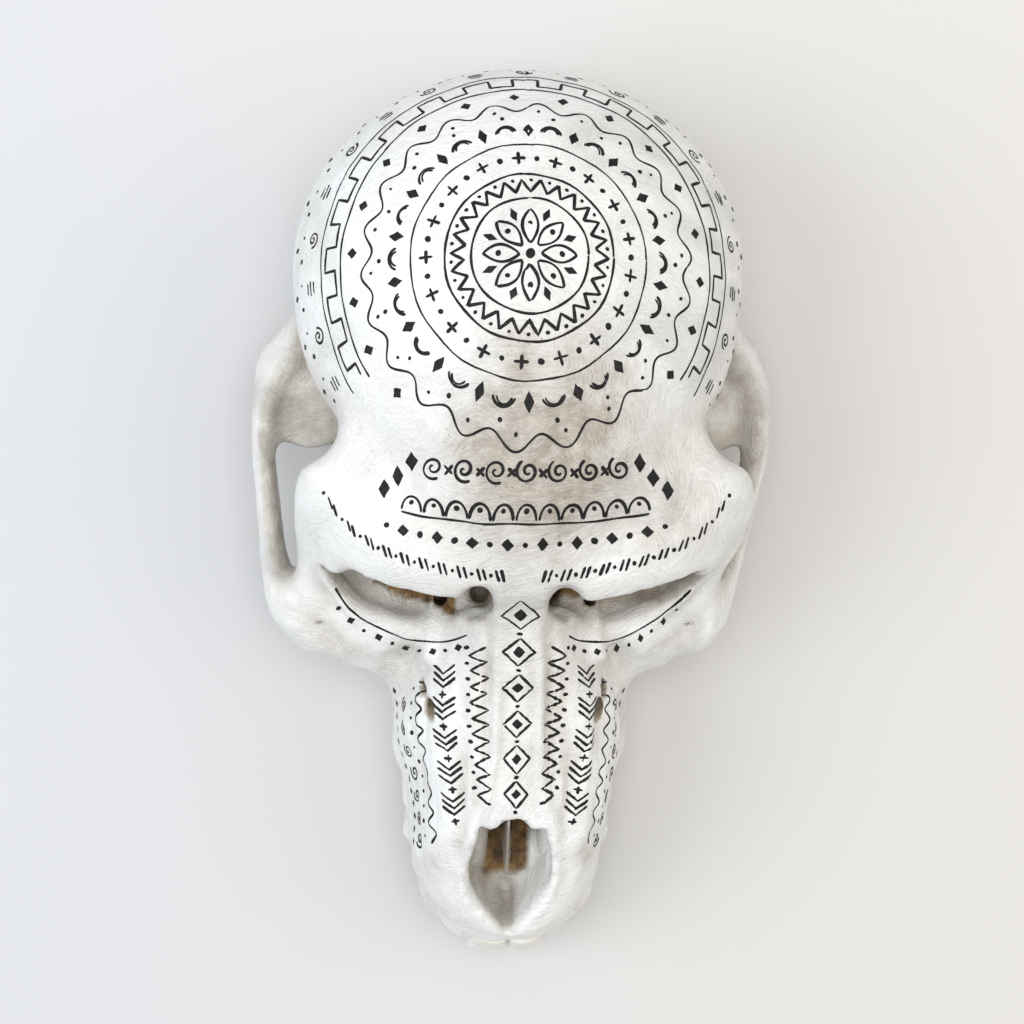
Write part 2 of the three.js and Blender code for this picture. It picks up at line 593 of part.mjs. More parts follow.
const parts = {
  braincase: braincaseSolid,
  face: faceSolid,
  muzzle: muzzleSolid,
  premaxilla: premaxillaSolid,
  zygomatic_arch_left: archSolid(1).intersect(archBox(1, -h)),
  zygomatic_arch_right: archSolid(-1).intersect(archBox(-1, -h)),
};

// Tip back onto the last molars and the mastoid corners, then set down on small flats.
const m3 = CHEEK_TEETH[4];
const front = { y: m3.to - 2.6, z: 0 };
let tip = 0.19;
for (let i = 0; i < 8; i += 1) {
  const reach = MASTOID.tip[1] - front.y;
  const drop = MASTOID.tip[2] * Math.cos(tip) - MASTOID.rTip - front.z * Math.cos(tip);
  tip = Math.asin(drop / reach);
}
const floor = -front.y * Math.sin(tip) + FLOOR_FLAT;
const rest = new THREE.Matrix4().makeRotationX(-tip);
rest.premultiply(new THREE.Matrix4().makeTranslation(0, 0, -floor));

function meshOf(solid) {
  const mesh = solid.getMesh();
  const g = new THREE.BufferGeometry();
  const xyz = new Float32Array(mesh.numVert * 3);
  for (let i = 0; i < mesh.numVert; i += 1) {
    for (let q = 0; q < 3; q += 1) xyz[3 * i + q] = mesh.vertProperties[mesh.numProp * i + q];
  }
  g.setAttribute('position', new THREE.BufferAttribute(xyz, 3));
  g.setIndex(new THREE.BufferAttribute(new Uint32Array(mesh.triVerts), 1));
  return g;
}

const skullGroup = new THREE.Group();
skullGroup.name = 'baboon_skull';
const above = block(-100, 100, -150, 150, 0, 150);
const whole = new THREE.Box3();
const settled = {};
for (const [name, solid] of Object.entries(parts)) {
  const g = meshOf(largest(solid));
  g.applyMatrix4(rest);
  const down = largest(solidFrom(g).intersect(above));
  settled[name] = meshOf(down);
  settled[name].computeBoundingBox();
  whole.union(settled[name].boundingBox);
}
const centre = whole.getCenter(new THREE.Vector3());
for (const [name, geometry] of Object.entries(settled)) {
  geometry.translate(-centre.x, -centre.y, 0);
  geometry.computeVertexNormals();
  const material = new THREE.MeshStandardMaterial({ color: 0xe9e6df, roughness: 0.55 });
  const mesh = new THREE.Mesh(geometry, material);
  mesh.name = name;
  skullGroup.add(mesh);
}

export default skullGroup;
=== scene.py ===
"""Skull of an adult female baboon, painted white and drawn on in black ink, lying at rest.

The bone is worked out in millimetres in its own frame: x to the side, y from the face (minus)
to the back (plus), z up from the chewing plane. At the end it is tipped back onto the last
molars and the mastoid corners and set down on the floor.

Throughout, P is a stack of x, y and z arrays, d a distance to the bone (minus inside it), n unit
normals and h a height in mm.
"""

import itertools
import math

import bpy
import numpy as np
from mathutils import Matrix


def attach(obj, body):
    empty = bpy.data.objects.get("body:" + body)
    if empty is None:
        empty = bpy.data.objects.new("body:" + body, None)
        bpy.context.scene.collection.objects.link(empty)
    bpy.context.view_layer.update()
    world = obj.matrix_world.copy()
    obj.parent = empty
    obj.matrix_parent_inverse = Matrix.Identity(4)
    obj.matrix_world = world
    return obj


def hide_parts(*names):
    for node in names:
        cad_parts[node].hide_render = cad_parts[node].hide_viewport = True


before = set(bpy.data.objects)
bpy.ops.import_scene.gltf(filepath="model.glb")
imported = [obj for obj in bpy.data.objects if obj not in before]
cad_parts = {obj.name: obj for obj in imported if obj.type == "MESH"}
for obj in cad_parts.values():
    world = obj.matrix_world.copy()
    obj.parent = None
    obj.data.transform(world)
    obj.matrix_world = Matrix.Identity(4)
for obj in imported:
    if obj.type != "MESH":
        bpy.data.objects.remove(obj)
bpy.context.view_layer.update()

MM = 0.001
FULL = 2 * math.pi

# Where the bone's frame lies in the floor's: tipped back by TIP radians, then moved in mm

TIP = 0.195831
FLOOR_DROP = 6.3264
CENTRE_X = -0.2977
CENTRE_Y = 4.5013

# Joining rounded forms


def smin(a, b, k):
    """Smaller of two distances, with the seam rounded over a width k."""
    h = np.clip(0.5 + 0.5 * (b - a) / k, 0, 1)
    return b + (a - b) * h - k * h * (1 - h)


def smax(a, b, k):
    """Larger of two distances, with the edge rounded over a width k."""
    return -smin(-a, -b, k)


def ball(P, at, r):
    """Distance to an ellipsoid: scaled radius times (scaled radius - 1) over its slope."""
    q = [P[i] - at[i] for i in range(3)]
    k0 = np.sqrt(sum((q[i] / r[i]) ** 2 for i in range(3)))
    k1 = np.sqrt(sum((q[i] / r[i] ** 2) ** 2 for i in range(3))) + 1e-9
    return k0 * (k0 - 1) / k1


def limb(P, a, b, ra, rb, s=(1, 1, 1)):
    """Distance to a tapered rod: distance to the nearest point of the line less the radius there."""
    a = np.array(a, float) * s
    b = np.array(b, float) * s
    e = b - a
    q = [P[i] * s[i] - a[i] for i in range(3)]
    t = np.clip(sum(q[i] * e[i] for i in range(3)) / (e @ e), 0, 1)
    return np.sqrt(sum((q[i] - t * e[i]) ** 2 for i in range(3))) - (ra + t * (rb - ra))


def curve(t, knots):
    """Cubic through the knots with the slope of its neighbours at each, level past its ends."""
    kt = np.array([k[0] for k in knots], float)
    kv = np.array([k[1] for k in knots], float)
    m = np.gradient(kv, kt)
    i = np.clip(np.searchsorted(kt, t) - 1, 0, len(kt) - 2)
    h = kt[i + 1] - kt[i]
    u = np.clip((t - kt[i]) / h, 0, 1)
    return ((2 * u**3 - 3 * u**2 + 1) * kv[i] + (u**3 - 2 * u**2 + u) * h * m[i]
            + (3 * u**2 - 2 * u**3) * kv[i + 1] + (u**3 - u**2) * h * m[i + 1])


def rod(u, v, a, b):
    """Distance to an oval section of half sizes a and b about the line u = v = 0."""
    return (np.sqrt((u / a) ** 2 + (v / b) ** 2) - 1) * np.minimum(a, b)


# The forms of the skull

MUZZLE_TOP = [(-95, 20), (-90, 22), (-85, 25), (-78, 31), (-70, 38), (-62.5, 43.5), (-50, 48),
              (-38, 51.5), (-25, 55), (-13, 60.5), (5, 64)]
MUZZLE_WIDE = [(-95, 17.5), (-80, 19), (-69, 22.2), (-60, 23.6), (-52, 25.4), (-45, 28.2), (-38, 29),
               (-30, 28.8), (-15, 25), (5, 16)]
MUZZLE_RIDGE = [(-95, 9.5), (-80, 12.8), (-69, 15), (-56, 15.5), (-44, 15.5), (-34, 13.5),
                (-26, 10), (-18, 7), (-8, 5.2), (5, 5)]
MUZZLE_GUM = [(-95, 7.5), (-60, 7.5), (-30, 7.5), (-20, 10), (-5, 20), (5, 24)]
CHEEK_TEETH = [
    dict(y0=-73.7, y1=-68.1, side=16.7, wide=6.4, cusps=1),
    dict(y0=-67.8, y1=-61.4, side=18.3, wide=7.6, cusps=1),
    dict(y0=-61.1, y1=-51.5, side=18.8, wide=8.4, cusps=2),
    dict(y0=-51.2, y1=-39.6, side=18.6, wide=9.4, cusps=2),
    dict(y0=-39.3, y1=-27.6, side=18.0, wide=9.2, cusps=2),
]


def braincase(P):
    """Three ellipsoids run together, cut off softly below and along the nape."""
    x, y, z = P
    d = ball(P, (0, 49, 52), (45.2, 40.2, 38))
    d = smin(d, ball(P, (0, 36, 56), (41.6, 37.5, 35.5)), 6)
    d = smin(d, ball(P, (0, 15, 57), (30.5, 31, 29)), 6)
    d = smax(d, 24 - z, 9)
    return smax(d, (y - 64) * 0.66 - (z - 27) * 0.75, 9)


def brow(P):
    """An oval bar bent back to the sides, a lobe behind it and a post down each side."""
    x, y, z = P
    yc = curve(x, [(0, -10.3), (12, -9.9), (22, -8), (30, -4.6), (38, 2.2), (48, 16)])
    zc = curve(x, [(0, 64.3), (12, 65.6), (22, 66.2), (30, 64.8), (38, 59.5), (48, 48)])
    d = smax(rod(y - yc, z - zc, 5.4, 4.8), x - 40, 5)
    d = smin(d, ball(P, (30, 4.5, 58.5), (13.4, 11, 11)), 6)
    px = curve(z, [(28, 35), (36, 37.5), (44, 38.8), (52, 39.4), (60, 38.8), (68, 37)])
    py = curve(z, [(28, -19), (36, -14.5), (44, -8.5), (52, -3), (60, 2), (68, 6)])
    post = smax(rod(x - px, y - py, 4.6, 4.6), np.abs(z - 47) - 16, 4)
    return smin(d, post, 5)


def muzzle(P):
    """Box section with rounded corners, narrower above, rounded off at the tip in plan."""
    x, y, z = P
    top, wide, ridge, low = (curve(y, k) for k in (MUZZLE_TOP, MUZZLE_WIDE, MUZZLE_RIDGE, MUZZLE_GUM))
    mid, half = (top + low) / 2, (top - low) / 2
    w = ridge + (wide - ridge) * np.clip((top - z) / (top - low), 0, 1.2) ** 0.8
    n = 3.4
    rho = ((x / w) ** n + (np.abs(z - mid) / half) ** n) ** (1 / n)
    d = (rho - 1) * np.minimum(w, half)
    reach = 23.2 - 0.22 * np.clip(z - 9, -5, 40)
    half = 21.6 + 0.6 * np.maximum(y + 66, 0)
    front = ((x / half) ** 1.85 + (np.maximum(-66 - y, 0) / reach) ** 1.85) ** (1 / 1.85)
    d = smax(d, (front - 1) * 20, 2.5)
    return smax(d, y - 2, 6)


def cheek(P):
    """Tapered rods from the muzzle out to the arch, and the floor of the eye socket."""
    d = limb(P, (12, -17, 35), (25, -18.5, 34), 7, 7)
    d = smin(d, limb(P, (25, -18.5, 34), (38, -15.5, 33.5), 7, 6.2), 6)
    socket_floor = ((12, -14, 35.5), 5.5), ((34, -5, 38.5), 5), ((35.5, 2, 47), 4.5)
    for (a, ra), (b, rb) in zip(socket_floor, socket_floor[1:]):
        d = smin(d, limb(P, a, b, ra, rb), 5)
    crest = limb(P, (21, -29.5, 25), (30, -24, 27), 4.7, 4.7)
    crest = smin(crest, limb(P, (30, -24, 27), (41, -17, 30.5), 4.7, 5.4), 5)
    return smin(d, crest, 8)


def arch(P):
    """Oval bar bowed out past the temple, with the shelf of its rear root."""
    x, y, z = P
    xc = curve(y, [(-30, 34), (-20, 42.6), (-10, 47.4), (5, 50.8), (18, 51.6), (28, 49.4),
                   (37, 44.5), (46, 38)])
    zc = curve(y, [(-30, 28), (-20, 30.5), (-8, 32), (8, 35), (20, 37.5), (30, 38.2), (46, 36)])
    a = curve(y, [(-30, 5), (-20, 4.4), (-8, 3), (8, 2.6), (22, 2.6), (32, 3.4), (46, 5)])
    b = curve(y, [(-30, 8), (-18, 6.6), (-6, 4.8), (8, 4.2), (22, 4.2), (32, 4), (46, 4)])
    d = smax(rod(x - xc, z - zc, a, b), np.abs(y - 8) - 35, 3)
    return smin(d, ball(P, (42, 28.5, 36.2), (11.5, 13.5, 3.2)), 4)


ORBIT_AT = np.array((20.2, -13.5, 52.6))
ORBIT_AXIS = np.array((9.5, 24.0, 56.5)) - ORBIT_AT
ORBIT_AXIS /= np.linalg.norm(ORBIT_AXIS)
ORBIT_SIDE = np.cross(ORBIT_AXIS, (0, 0, 1))
ORBIT_SIDE /= np.linalg.norm(ORBIT_SIDE)
ORBIT_UP = np.cross(ORBIT_SIDE, ORBIT_AXIS)
ORBIT_HALF_WIDE = 14.6
ORBIT_HALF_TALL = 12.2
ORBIT_DEEP = 38


def along_orbit(P):
    """Depth into the eye socket, and the distances across and up from its axis."""
    q = [P[i] - ORBIT_AT[i] for i in range(3)]
    return [sum(q[i] * w[i] for i in range(3)) for w in (ORBIT_AXIS, ORBIT_SIDE, ORBIT_UP)]


def orbit(P):
    """Squared-off cone: a rounded-box section that shrinks with depth, closed behind and at a
    curved mouth in front, with a gutter along its floor and a narrow outer corner."""
    s, u, v = along_orbit(P)
    taper = curve(s, [(-40, 1.3), (-14, 1.1), (0, 1), (12, 0.96), (24, 0.68), (34, 0.34), (42, 0.05)])
    section = (np.abs(u) / ORBIT_HALF_WIDE) ** 2.5 + (np.abs(v) / ORBIT_HALF_TALL) ** 2.5
    d = (section**0.4 - taper) * 12
    mouth = curve(P[0], [(0, -17), (6, -18), (14, -19), (22, -19.6), (30, -16.6), (36, -11), (42, -4)])
    d = smax(smax(d, s - ORBIT_DEEP, 3), mouth - P[1], 4)
    gutter = limb(P, (11, -14, 43), (31.5, -9, 45), 5.2, 5.2)
    corner = limb(P, (31, -12.6, 46.5), (37.2, -9.4, 50.5), 2.9, 1.3)
    return smin(smin(d, gutter, 3), corner, 2)


def rim(P):
    """The raised lower edge of the eye socket: an oval bar bent round it."""
    x, y, z = P
    yc = curve(x, [(4, -20.5), (9, -22.6), (17, -23.2), (25, -21), (31, -18), (36, -13.5), (40, -8.5)])
    zc = curve(x, [(4, 50), (9, 46.5), (17, 41), (25, 39.6), (31, 40.6), (36, 44), (40, 50)])
    return smax(rod(y - yc, z - zc, 2.3, 2.2), np.abs(x - 21.5) - 17, 4)


NOSE_Y = -74.2
NOSE_Z = 34
NOSE_RUN = (-0.757, -0.654)
NOSE_PASSAGE = ((0, -70, 31), (0, -50, 32.5), 8, 8.5, (1, 1, 0.7))


def along_nose(P):
    """Run down the slope of the nose opening, and height above that slope."""
    y, z = P[1] - NOSE_Y, P[2] - NOSE_Z
    run_y, run_z = NOSE_RUN
    return y * run_y + z * run_z, y * run_z - z * run_y


def nose_opening(P):
    """Pear-shaped pit: half width is a curve down the slope; a passage leads back from it."""
    t, n = along_nose(P)
    half = curve(t, [(-40, 6.2), (-16, 6.3), (-10, 7.6), (-4, 8.5), (2, 8.1), (7, 6.2), (11, 3.4),
                     (15.5, 0.2), (20, -3)])
    end = 15 - 1.5 * np.exp(-(((P[0] - 4.4) / 1.8) ** 2))
    d = smax(smax(P[0] - half, np.abs(t) - end, 1.2), -n - 13, 4)
    return smin(d, limb(P, *NOSE_PASSAGE), 2)


def base(P):
    """Underside: middle bar, ear bones, mastoid corners, jaw-joint seats and nape ridge."""
    x, y, z = P
    half = curve(y, [(-14, 5), (0, 6), (20, 8), (40, 12), (56, 15)])
    zc = curve(y, [(-14, 30.5), (0, 28.5), (20, 26.5), (40, 24), (56, 22.5)])
    d = smax(rod(x, z - zc, half, 5.5), np.abs(y - 22) - 34, 4)
    d = smin(d, limb(P, (40, 39, 31), (14, 26, 27), 5.2, 4.2), 5)
    d = smin(d, limb(P, (37, 41, 29), (24, 34, 25), 5.4, 5.4), 5)
    d = smin(d, limb(P, (35, 50, 29), (33, 49.5, 20.5), 8, 4.6), 6)
    d = smin(d, limb(P, (33, 52, 24), (15, 52, 24), 5, 5), 6)
    d = smin(d, ball(P, (35, 27, 33), (12, 9, 5)), 5)
    yn = curve(x, [(0, 84.8), (12, 83.2), (22, 79), (30, 71.5), (36, 62), (41, 50)])
    zn = curve(x, [(0, 43), (20, 41.5), (34, 38), (41, 34)])
    turn = curve(x, [(0, 1), (20, 0.9), (40, 0.55)])
    d = smin(d, smax(rod((y - yn) * turn, z - zn, 2.6, 2.6), x - 40, 3), 7)
    return smin(d, limb(P, (12.5, 55.5, 22.5), (8.5, 46, 19.5), 4.4, 4), 2.5)


PALATE = ((0, -49, 4), (13.8, 37, 11))
JAW_SEAT = ((35, 25, 26), (8.5, 6, 5))
REAR_NOSE = ((0, -22, 27), (0, -2, 24), 7, 8.2)
SPINAL_OPENING = ((0, 60, 16), (0, 52, 40), 7.8, 8.5)
BEHIND_POST = ((43, 15.5, 66), (39.5, 15, 44), 5.6, 5)
TEAR_NOTCH = ((8.4, -18.2, 68), (8.8, -17.6, 52), 3.0, 2.8)
SOCKET_CORNER = ((34.8, -15.4, 64), (34.6, -15.2, 46), 3.2, 3.0)


def wings(P):
    """The pair of thin plates behind the palate."""
    x, y, z = P
    xc = curve(y, [(-30, 14.5), (-22, 12.5), (-12, 12.8), (2, 15.5), (10, 18)])
    low = curve(y, [(-30, 10), (-22, 10.5), (-12, 14), (-2, 19), (6, 25), (10, 29)])
    d = smax(np.abs(x - xc) - curve(z, [(8, 1.3), (20, 1.9), (32, 5)]), low - z, 1.6)
    return smax(smax(d, np.abs(y + 12) - 17, 2), z - 44, 2)


def skull(x, y, z):
    """Distance in mm to the bone: all forms joined, then the hollows cut away."""
    P = (np.abs(x), y, z)
    d = smin(braincase(P), limb(P, (21, 0.5, 54), (13, 20, 57), 19.6, 13, (1, 1, 1.2)), 11)
    d = smin(d, brow(P), 9)
    d = smin(d, muzzle(P), 5)
    d = smin(d, cheek(P), 6)
    d = smin(d, limb(P, (0, -9, 61), (0, -26, 47), 5, 8), 4)
    d = smax(d, -limb(P, *BEHIND_POST), 4)
    d = smax(d, -orbit(P), 2.5)
    d = smax(d, -limb(P, *TEAR_NOTCH), 1.8)
    d = smax(d, -limb(P, *SOCKET_CORNER), 2)
    d = smin(d, rim(P), 2.5)
    d = smin(d, arch(P), 2.5)
    d = smin(d, base(P), 5)
    d = smin(d, wings(P), 2.5)
    d = smin(d, root_swellings(P), 3)
    d = smax(d, -ball(P, *PALATE), 2.5)
    d = smax(d, -limb(P, *REAR_NOSE), 2)
    d = smax(d, -ball(P, *JAW_SEAT), 3)
    d = smax(d, -nose_opening(P), 1.6)
    d = smax(d, -limb(P, *SPINAL_OPENING), 2)
    return holes(d, P)


GUM_EDGE = [((17.6, -31, 11), 5), ((17.4, -62, 11), 3.8), ((13.9, -77.5, 10.5), 3.2),
            ((8.8, -83.8, 10), 2.7), ((0, -86.4, 10), 2.4)]
CANINE_ROOT = ((13.9, -77.6, 10), (15.2, -67, 26), 3.2, 3.0)
FRONT_ROOTS = [((4.15, -84.4, 16.5), (4.3, -82.5, 22), 3.1, 2.6),
               ((8.9, -82.2, 15.5), (8.8, -79.6, 21), 3.0, 2.5)]


def root_swellings(P):
    """The gum edge that carries the teeth, with low upright swellings over their roots."""
    (a, ra), (b, rb) = GUM_EDGE[:2]
    d = limb(P, a, b, ra, rb)
    for (a, ra), (b, rb) in zip(GUM_EDGE[1:], GUM_EDGE[2:]):
        d = smin(d, limb(P, a, b, ra, rb), 3)
    d = smin(d, limb(P, *CANINE_ROOT), 2)
    for root in FRONT_ROOTS:
        d = smin(d, limb(P, *root), 1.5)
    for tooth in CHEEK_TEETH[1:]:
        mid = (tooth["y0"] + tooth["y1"]) / 2
        foot = (tooth["side"] + 1.0, mid, 9)
        d = np.minimum(d, limb(P, foot, (tooth["side"] + 1.6, mid, 17), 2.7, 1.4))
    return d


HOLES = {
    "below the socket": ((19, -42, 46), (14, -34, 38), 1.5, 1.7),
    "below the socket, second": ((21, -37.5, 44), (17, -33, 38), 0.9, 1.2),
    "cheekbone": ((37.8, -20.5, 37.5), (35.5, -14, 34), 0.7, 0.7),
    "tear duct": ((7.4, -17.5, 58), (7.0, -14.5, 39), 2.3, 2.0),
    "socket floor": ((15.2, -16.8, 46), (15.0, -15, 31), 1.2, 1.3),
    "eye nerve": ((12, 19, 55.5), (7, 30, 56), 2.6, 2.6),
    "back of the socket": ((19, 16, 51), (16, 27, 52), 2.2, 1.6),
    "ear": ((50, 38.5, 33.5), (36, 37, 33), 3, 1.5),
    "neck artery": ((20, 30, 19), (21, 34, 32), 1.6, 1.6),
    "jaw nerve": ((12, 15, 18), (14, 16, 30), 1.4, 1.4),
    "neck vein": ((19, 47, 16), (18, 46, 30), 2, 1.6),
    "back of the palate": ((10.5, -31, 8), (10.5, -27, 22), 1.5, 1.2),
}


def holes(d, P):
    """Small channels for nerves and vessels, bored as tapered rods."""
    for channel in HOLES.values():
        d = smax(d, -limb(P, *channel), 0.8)
    return d


def slope(P, step=0.05):
    """Unit normals from the change of the distance along each axis."""
    d = skull(*P)
    g = np.stack([skull(*[P[i] + (step if i == k else 0) for i in range(3)]) - d for k in range(3)])
    g /= np.linalg.norm(g, axis=0) + 1e-9
    return d, g


def settle(P, rounds=3):
    """Moves points along the slope of the distance until they lie on the bone."""
    for _ in range(rounds):
        d, n = slope(P)
        P = P - d * n
    return P, n


# Unevenness of real bone


def cloud(P, size, seed):
    """Smooth noise from -1 to 1: random values on a lattice of that size, blended between."""
    rng = np.random.default_rng(seed)
    table = rng.uniform(-1, 1, (32, 32, 32))
    q = P / size + 100.37
    i = np.floor(q).astype(int)
    f = q - i
    f = f * f * (3 - 2 * f)
    out = 0
    for a, b, c in itertools.product((0, 1), repeat=3):
        w = (f[0] if a else 1 - f[0]) * (f[1] if b else 1 - f[1]) * (f[2] if c else 1 - f[2])
        out = out + w * table[(i[0] + a) % 32, (i[1] + b) % 32, (i[2] + c) % 32]
    return out


def bell(t, mid, wide):
    """Bell curve of height 1."""
    return np.exp(-((t - mid) / wide) ** 2)


def rise(t, wide):
    """0 below zero, 1 from wide on, and a straight rise between."""
    return np.clip(t / wide, 0, 1)


def relief(P, n):
    """Height in mm added to the bone: lumps, the nasal strip, sutures, muscle lines and pores."""
    x, y, z = P
    ax = np.abs(x)
    face = 1 / (1 + np.exp((y + 4) / 3))
    up = np.clip(n[2], 0, 1)
    h = 0.26 * cloud(P, 13.0, 3) + (0.08 + 0.16 * face) * cloud(P, 5.0, 4)
    h = h + (0.05 + 0.06 * face) * cloud(P, 2.1, 5)
    edge = curve(y, [(-64, 8.6), (-59, 6.4), (-52, 4.8), (-40, 4.3), (-24, 4.2), (-12, 4.6)])
    edge = edge + 0.5 * cloud(P, 5.0, 9)
    strip = up * bell(y, -42, 24) * (y < -9)
    beside = 1.0 * bell(ax, edge + 2.1, 1.2)
    h = h + strip * (0.95 * bell(ax, edge, 0.85) - beside - 0.4 * bell(ax, edge - 1.8, 1.0))
    h = h - 0.16 * strip * bell(x, 0.4 * cloud(P, 9.0, 10), 0.5) * (y < -20)
    drawn = P * np.array([[1.0], [0.22], [0.7]])
    muzzle_skin = bell(y, -50, 25) * (z > 14)
    h = h + 0.75 * muzzle_skin * rise(ax - 4, 3) * cloud(drawn, 2.6, 6)
    h = h + 0.3 * muzzle_skin * cloud(drawn, 1.4, 7)
    valley = curve(y, [(-76, 9), (-60, 10.5), (-40, 10)])
    h = h - 0.7 * up * bell(ax, valley, 1.3) * bell(y, -58, 12)
    lip = bell(nose_opening((ax, y, z)), 1.3, 1.1) * rise(-y - 66, 6)
    h = h + lip * (0.55 + 0.35 * cloud(P, 2.6, 18))
    canine = curve(y, [(-80, 13.5), (-66, 15), (-50, 14)])
    h = h + 0.5 * bell(ax, canine, 2.0) * bell(y, -66, 14) * (z > 16)
    wander = 1.1 * cloud(P, 3.4, 12) + 0.5 * cloud(P, 1.5, 13)
    suture = bell(y + 0.10 * ax - 23 + wander, 0, 0.5) * (z > 70)
    suture = np.maximum(suture, bell(x + wander * 0.8, 0, 0.45) * (y > 23) * (z > 60))
    lambda_y = 78 - 0.45 * ax + wander
    suture = np.maximum(suture, bell(y - lambda_y, 0, 0.5) * (z > 46))
    h = h - 0.13 * suture
    temple = curve(y, [(4, 31), (14, 30), (28, 31.5), (45, 34.5), (62, 33.5), (76, 27)])
    h = h + 0.22 * bell(ax, temple + 0.4 * cloud(P, 6.0, 15), 1.4) * (z > 52) * bell(y, 40, 30)
    nape = (n[1] > 0.2) & (z < 42)
    h = h + 0.25 * nape * cloud(P * np.array([[1.0], [0.5], [0.5]]), 3.2, 16)
    pores = np.clip(cloud(P, 1.1, 17) - 0.62, 0, 1)
    return h - 0.5 * pores * (0.25 + 0.75 * face)


def sideways(P):
    """Sideways shift in mm: the two sides of the bone are not quite alike."""
    x, y, z = P
    outer = rise(np.abs(x) - 10, 20) ** 2
    shift = outer * (1.2 * bell(y, -2, 16) * bell(z, 62, 14) - 2.4 * bell(y, -18, 14) * bell(z, 32, 13))
    shift = shift - 2.2 * rise(x - 38, 10) * bell(y, 4, 16) * bell(z, 34, 10)
    return shift - 1.1 * bell(y, -74, 13) * bell(z, 28, 16)


def finish_points(P, n, lift=0.0):
    """Surface points with their relief and an extra lift, moved sideways as the bone is."""
    P = P + n * (relief(P, n) + lift)
    return P + np.stack([sideways(P), 0 * P[1], 0 * P[2]])


def rest(P):
    """From the bone's own frame in mm to the floor's frame in metres: tipped back, then lowered.
    What would dip below the floor is worn flat at its level."""
    x, y, z = P
    c, s = math.cos(TIP), math.sin(TIP)
    height = np.maximum(-y * s + z * c - FLOOR_DROP, 0)
    return np.stack([x - CENTRE_X, y * c + z * s - CENTRE_Y, height]) * MM


# Meshes


def ticks(*stretches):
    """Grid ticks from a start through stretches of (end, step)."""
    out = [np.array([stretches[0]], float)]
    for end, step in stretches[1:]:
        a = out[-1][-1]
        out.append(np.linspace(a, end, max(1, round((end - a) / step)) + 1)[1:])
    return np.concatenate(out)


def wrap(D, axes):
    """Closed skin round the inside of a distance grid: one point for each crossed cell, at the
    mean of its edge crossings, and one four-sided face for each crossed grid edge."""
    n = D.shape
    cells = tuple(s - 1 for s in n)
    total = np.zeros(cells + (3,))
    count = np.zeros(cells)
    quads = []
    inside = D < 0
    for a in range(3):
        b, c = (a + 1) % 3, (a + 2) % 3
        lo = tuple(slice(0, n[i] - 1) if i == a else slice(None) for i in range(3))
        hi = tuple(slice(1, n[i]) if i == a else slice(None) for i in range(3))
        e = np.argwhere(inside[lo] != inside[hi])
        e = e[(e[:, b] > 0) & (e[:, c] > 0) & (e[:, b] < n[b] - 1) & (e[:, c] < n[c] - 1)]
        d0, d1 = D[lo][tuple(e.T)], D[hi][tuple(e.T)]
        p = np.stack([axes[i][e[:, i]] for i in range(3)], 1)
        p[:, a] += d0 / (d0 - d1) * (axes[a][e[:, a] + 1] - axes[a][e[:, a]])
        ring = []
        for ob, oc in ((-1, -1), (0, -1), (0, 0), (-1, 0)):
            q = e.copy()
            q[:, b] += ob
            q[:, c] += oc
            np.add.at(total, tuple(q.T), p)
            np.add.at(count, tuple(q.T), 1)
            ring.append(np.ravel_multi_index(q.T, cells))
        ring = np.stack(ring, 1)
        ring[d0 > 0] = ring[d0 > 0][:, ::-1]
        quads.append(ring)
    quads = np.concatenate(quads)
    used, where = np.unique(quads, return_inverse=True)
    points = total.reshape(-1, 3)[used] / count.reshape(-1)[used][:, None]
    return points.T, where.reshape(-1, 4)


def piece(name, points, faces, material, marks=None):
    """A mesh object from points (3 x n, metres) and faces of 3 or 4 corners (-1 marks none)."""
    faces = np.asarray(faces)
    keep = faces >= 0
    size = keep.sum(1)
    mesh = bpy.data.meshes.new(name)
    mesh.vertices.add(points.shape[1])
    mesh.vertices.foreach_set("co", np.ascontiguousarray(points.T, np.float32).ravel())
    mesh.loops.add(int(size.sum()))
    mesh.loops.foreach_set("vertex_index", faces[keep].astype(np.int32))
    mesh.polygons.add(len(faces))
    starts = np.concatenate([[0], np.cumsum(size)[:-1]])
    mesh.polygons.foreach_set("loop_start", starts.astype(np.int32))
    mesh.update(calc_edges=True)
    mesh.validate()
    mesh.polygons.foreach_set("use_smooth", np.ones(len(mesh.polygons), bool))
    for label, values in (marks or {}).items():
        kept = mesh.attributes.new(label, "FLOAT", "POINT")
        kept.data.foreach_set("value", values.astype(np.float32))
    mesh.materials.append(material)
    obj = bpy.data.objects.new(name, mesh)
    bpy.context.scene.collection.objects.link(obj)
    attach(obj, "root")
    return obj


# Materials


def node(tree, kind, **sets):
    """A shader node with its settings, and with plain input values given as in_NAME."""
    made = tree.nodes.new(kind)
    for key, value in sets.items():
        if key.startswith("in_"):
            made.inputs[key[3:].replace("_", " ")].default_value = value
        else:
            setattr(made, key, value)
    return made


def ramp(tree, source, stops):
    """Colour ramp from (place, grey) stops."""
    r = node(tree, "ShaderNodeValToRGB")
    e = r.color_ramp.elements
    while len(e) < len(stops):
        e.new(0.5)
    for item, (at, grey) in zip(e, stops):
        item.position = at
        item.color = (grey, grey, grey, 1)
    tree.links.new(source, r.inputs[0])
    return r.outputs[0]


def maths(tree, op, *terms):
    """One sum between sockets or numbers."""
    m = node(tree, "ShaderNodeMath", operation=op)
    for socket, term in zip(m.inputs, terms):
        if isinstance(term, (int, float)):
            socket.default_value = term
        else:
            tree.links.new(term, socket)
    return m.outputs[0]


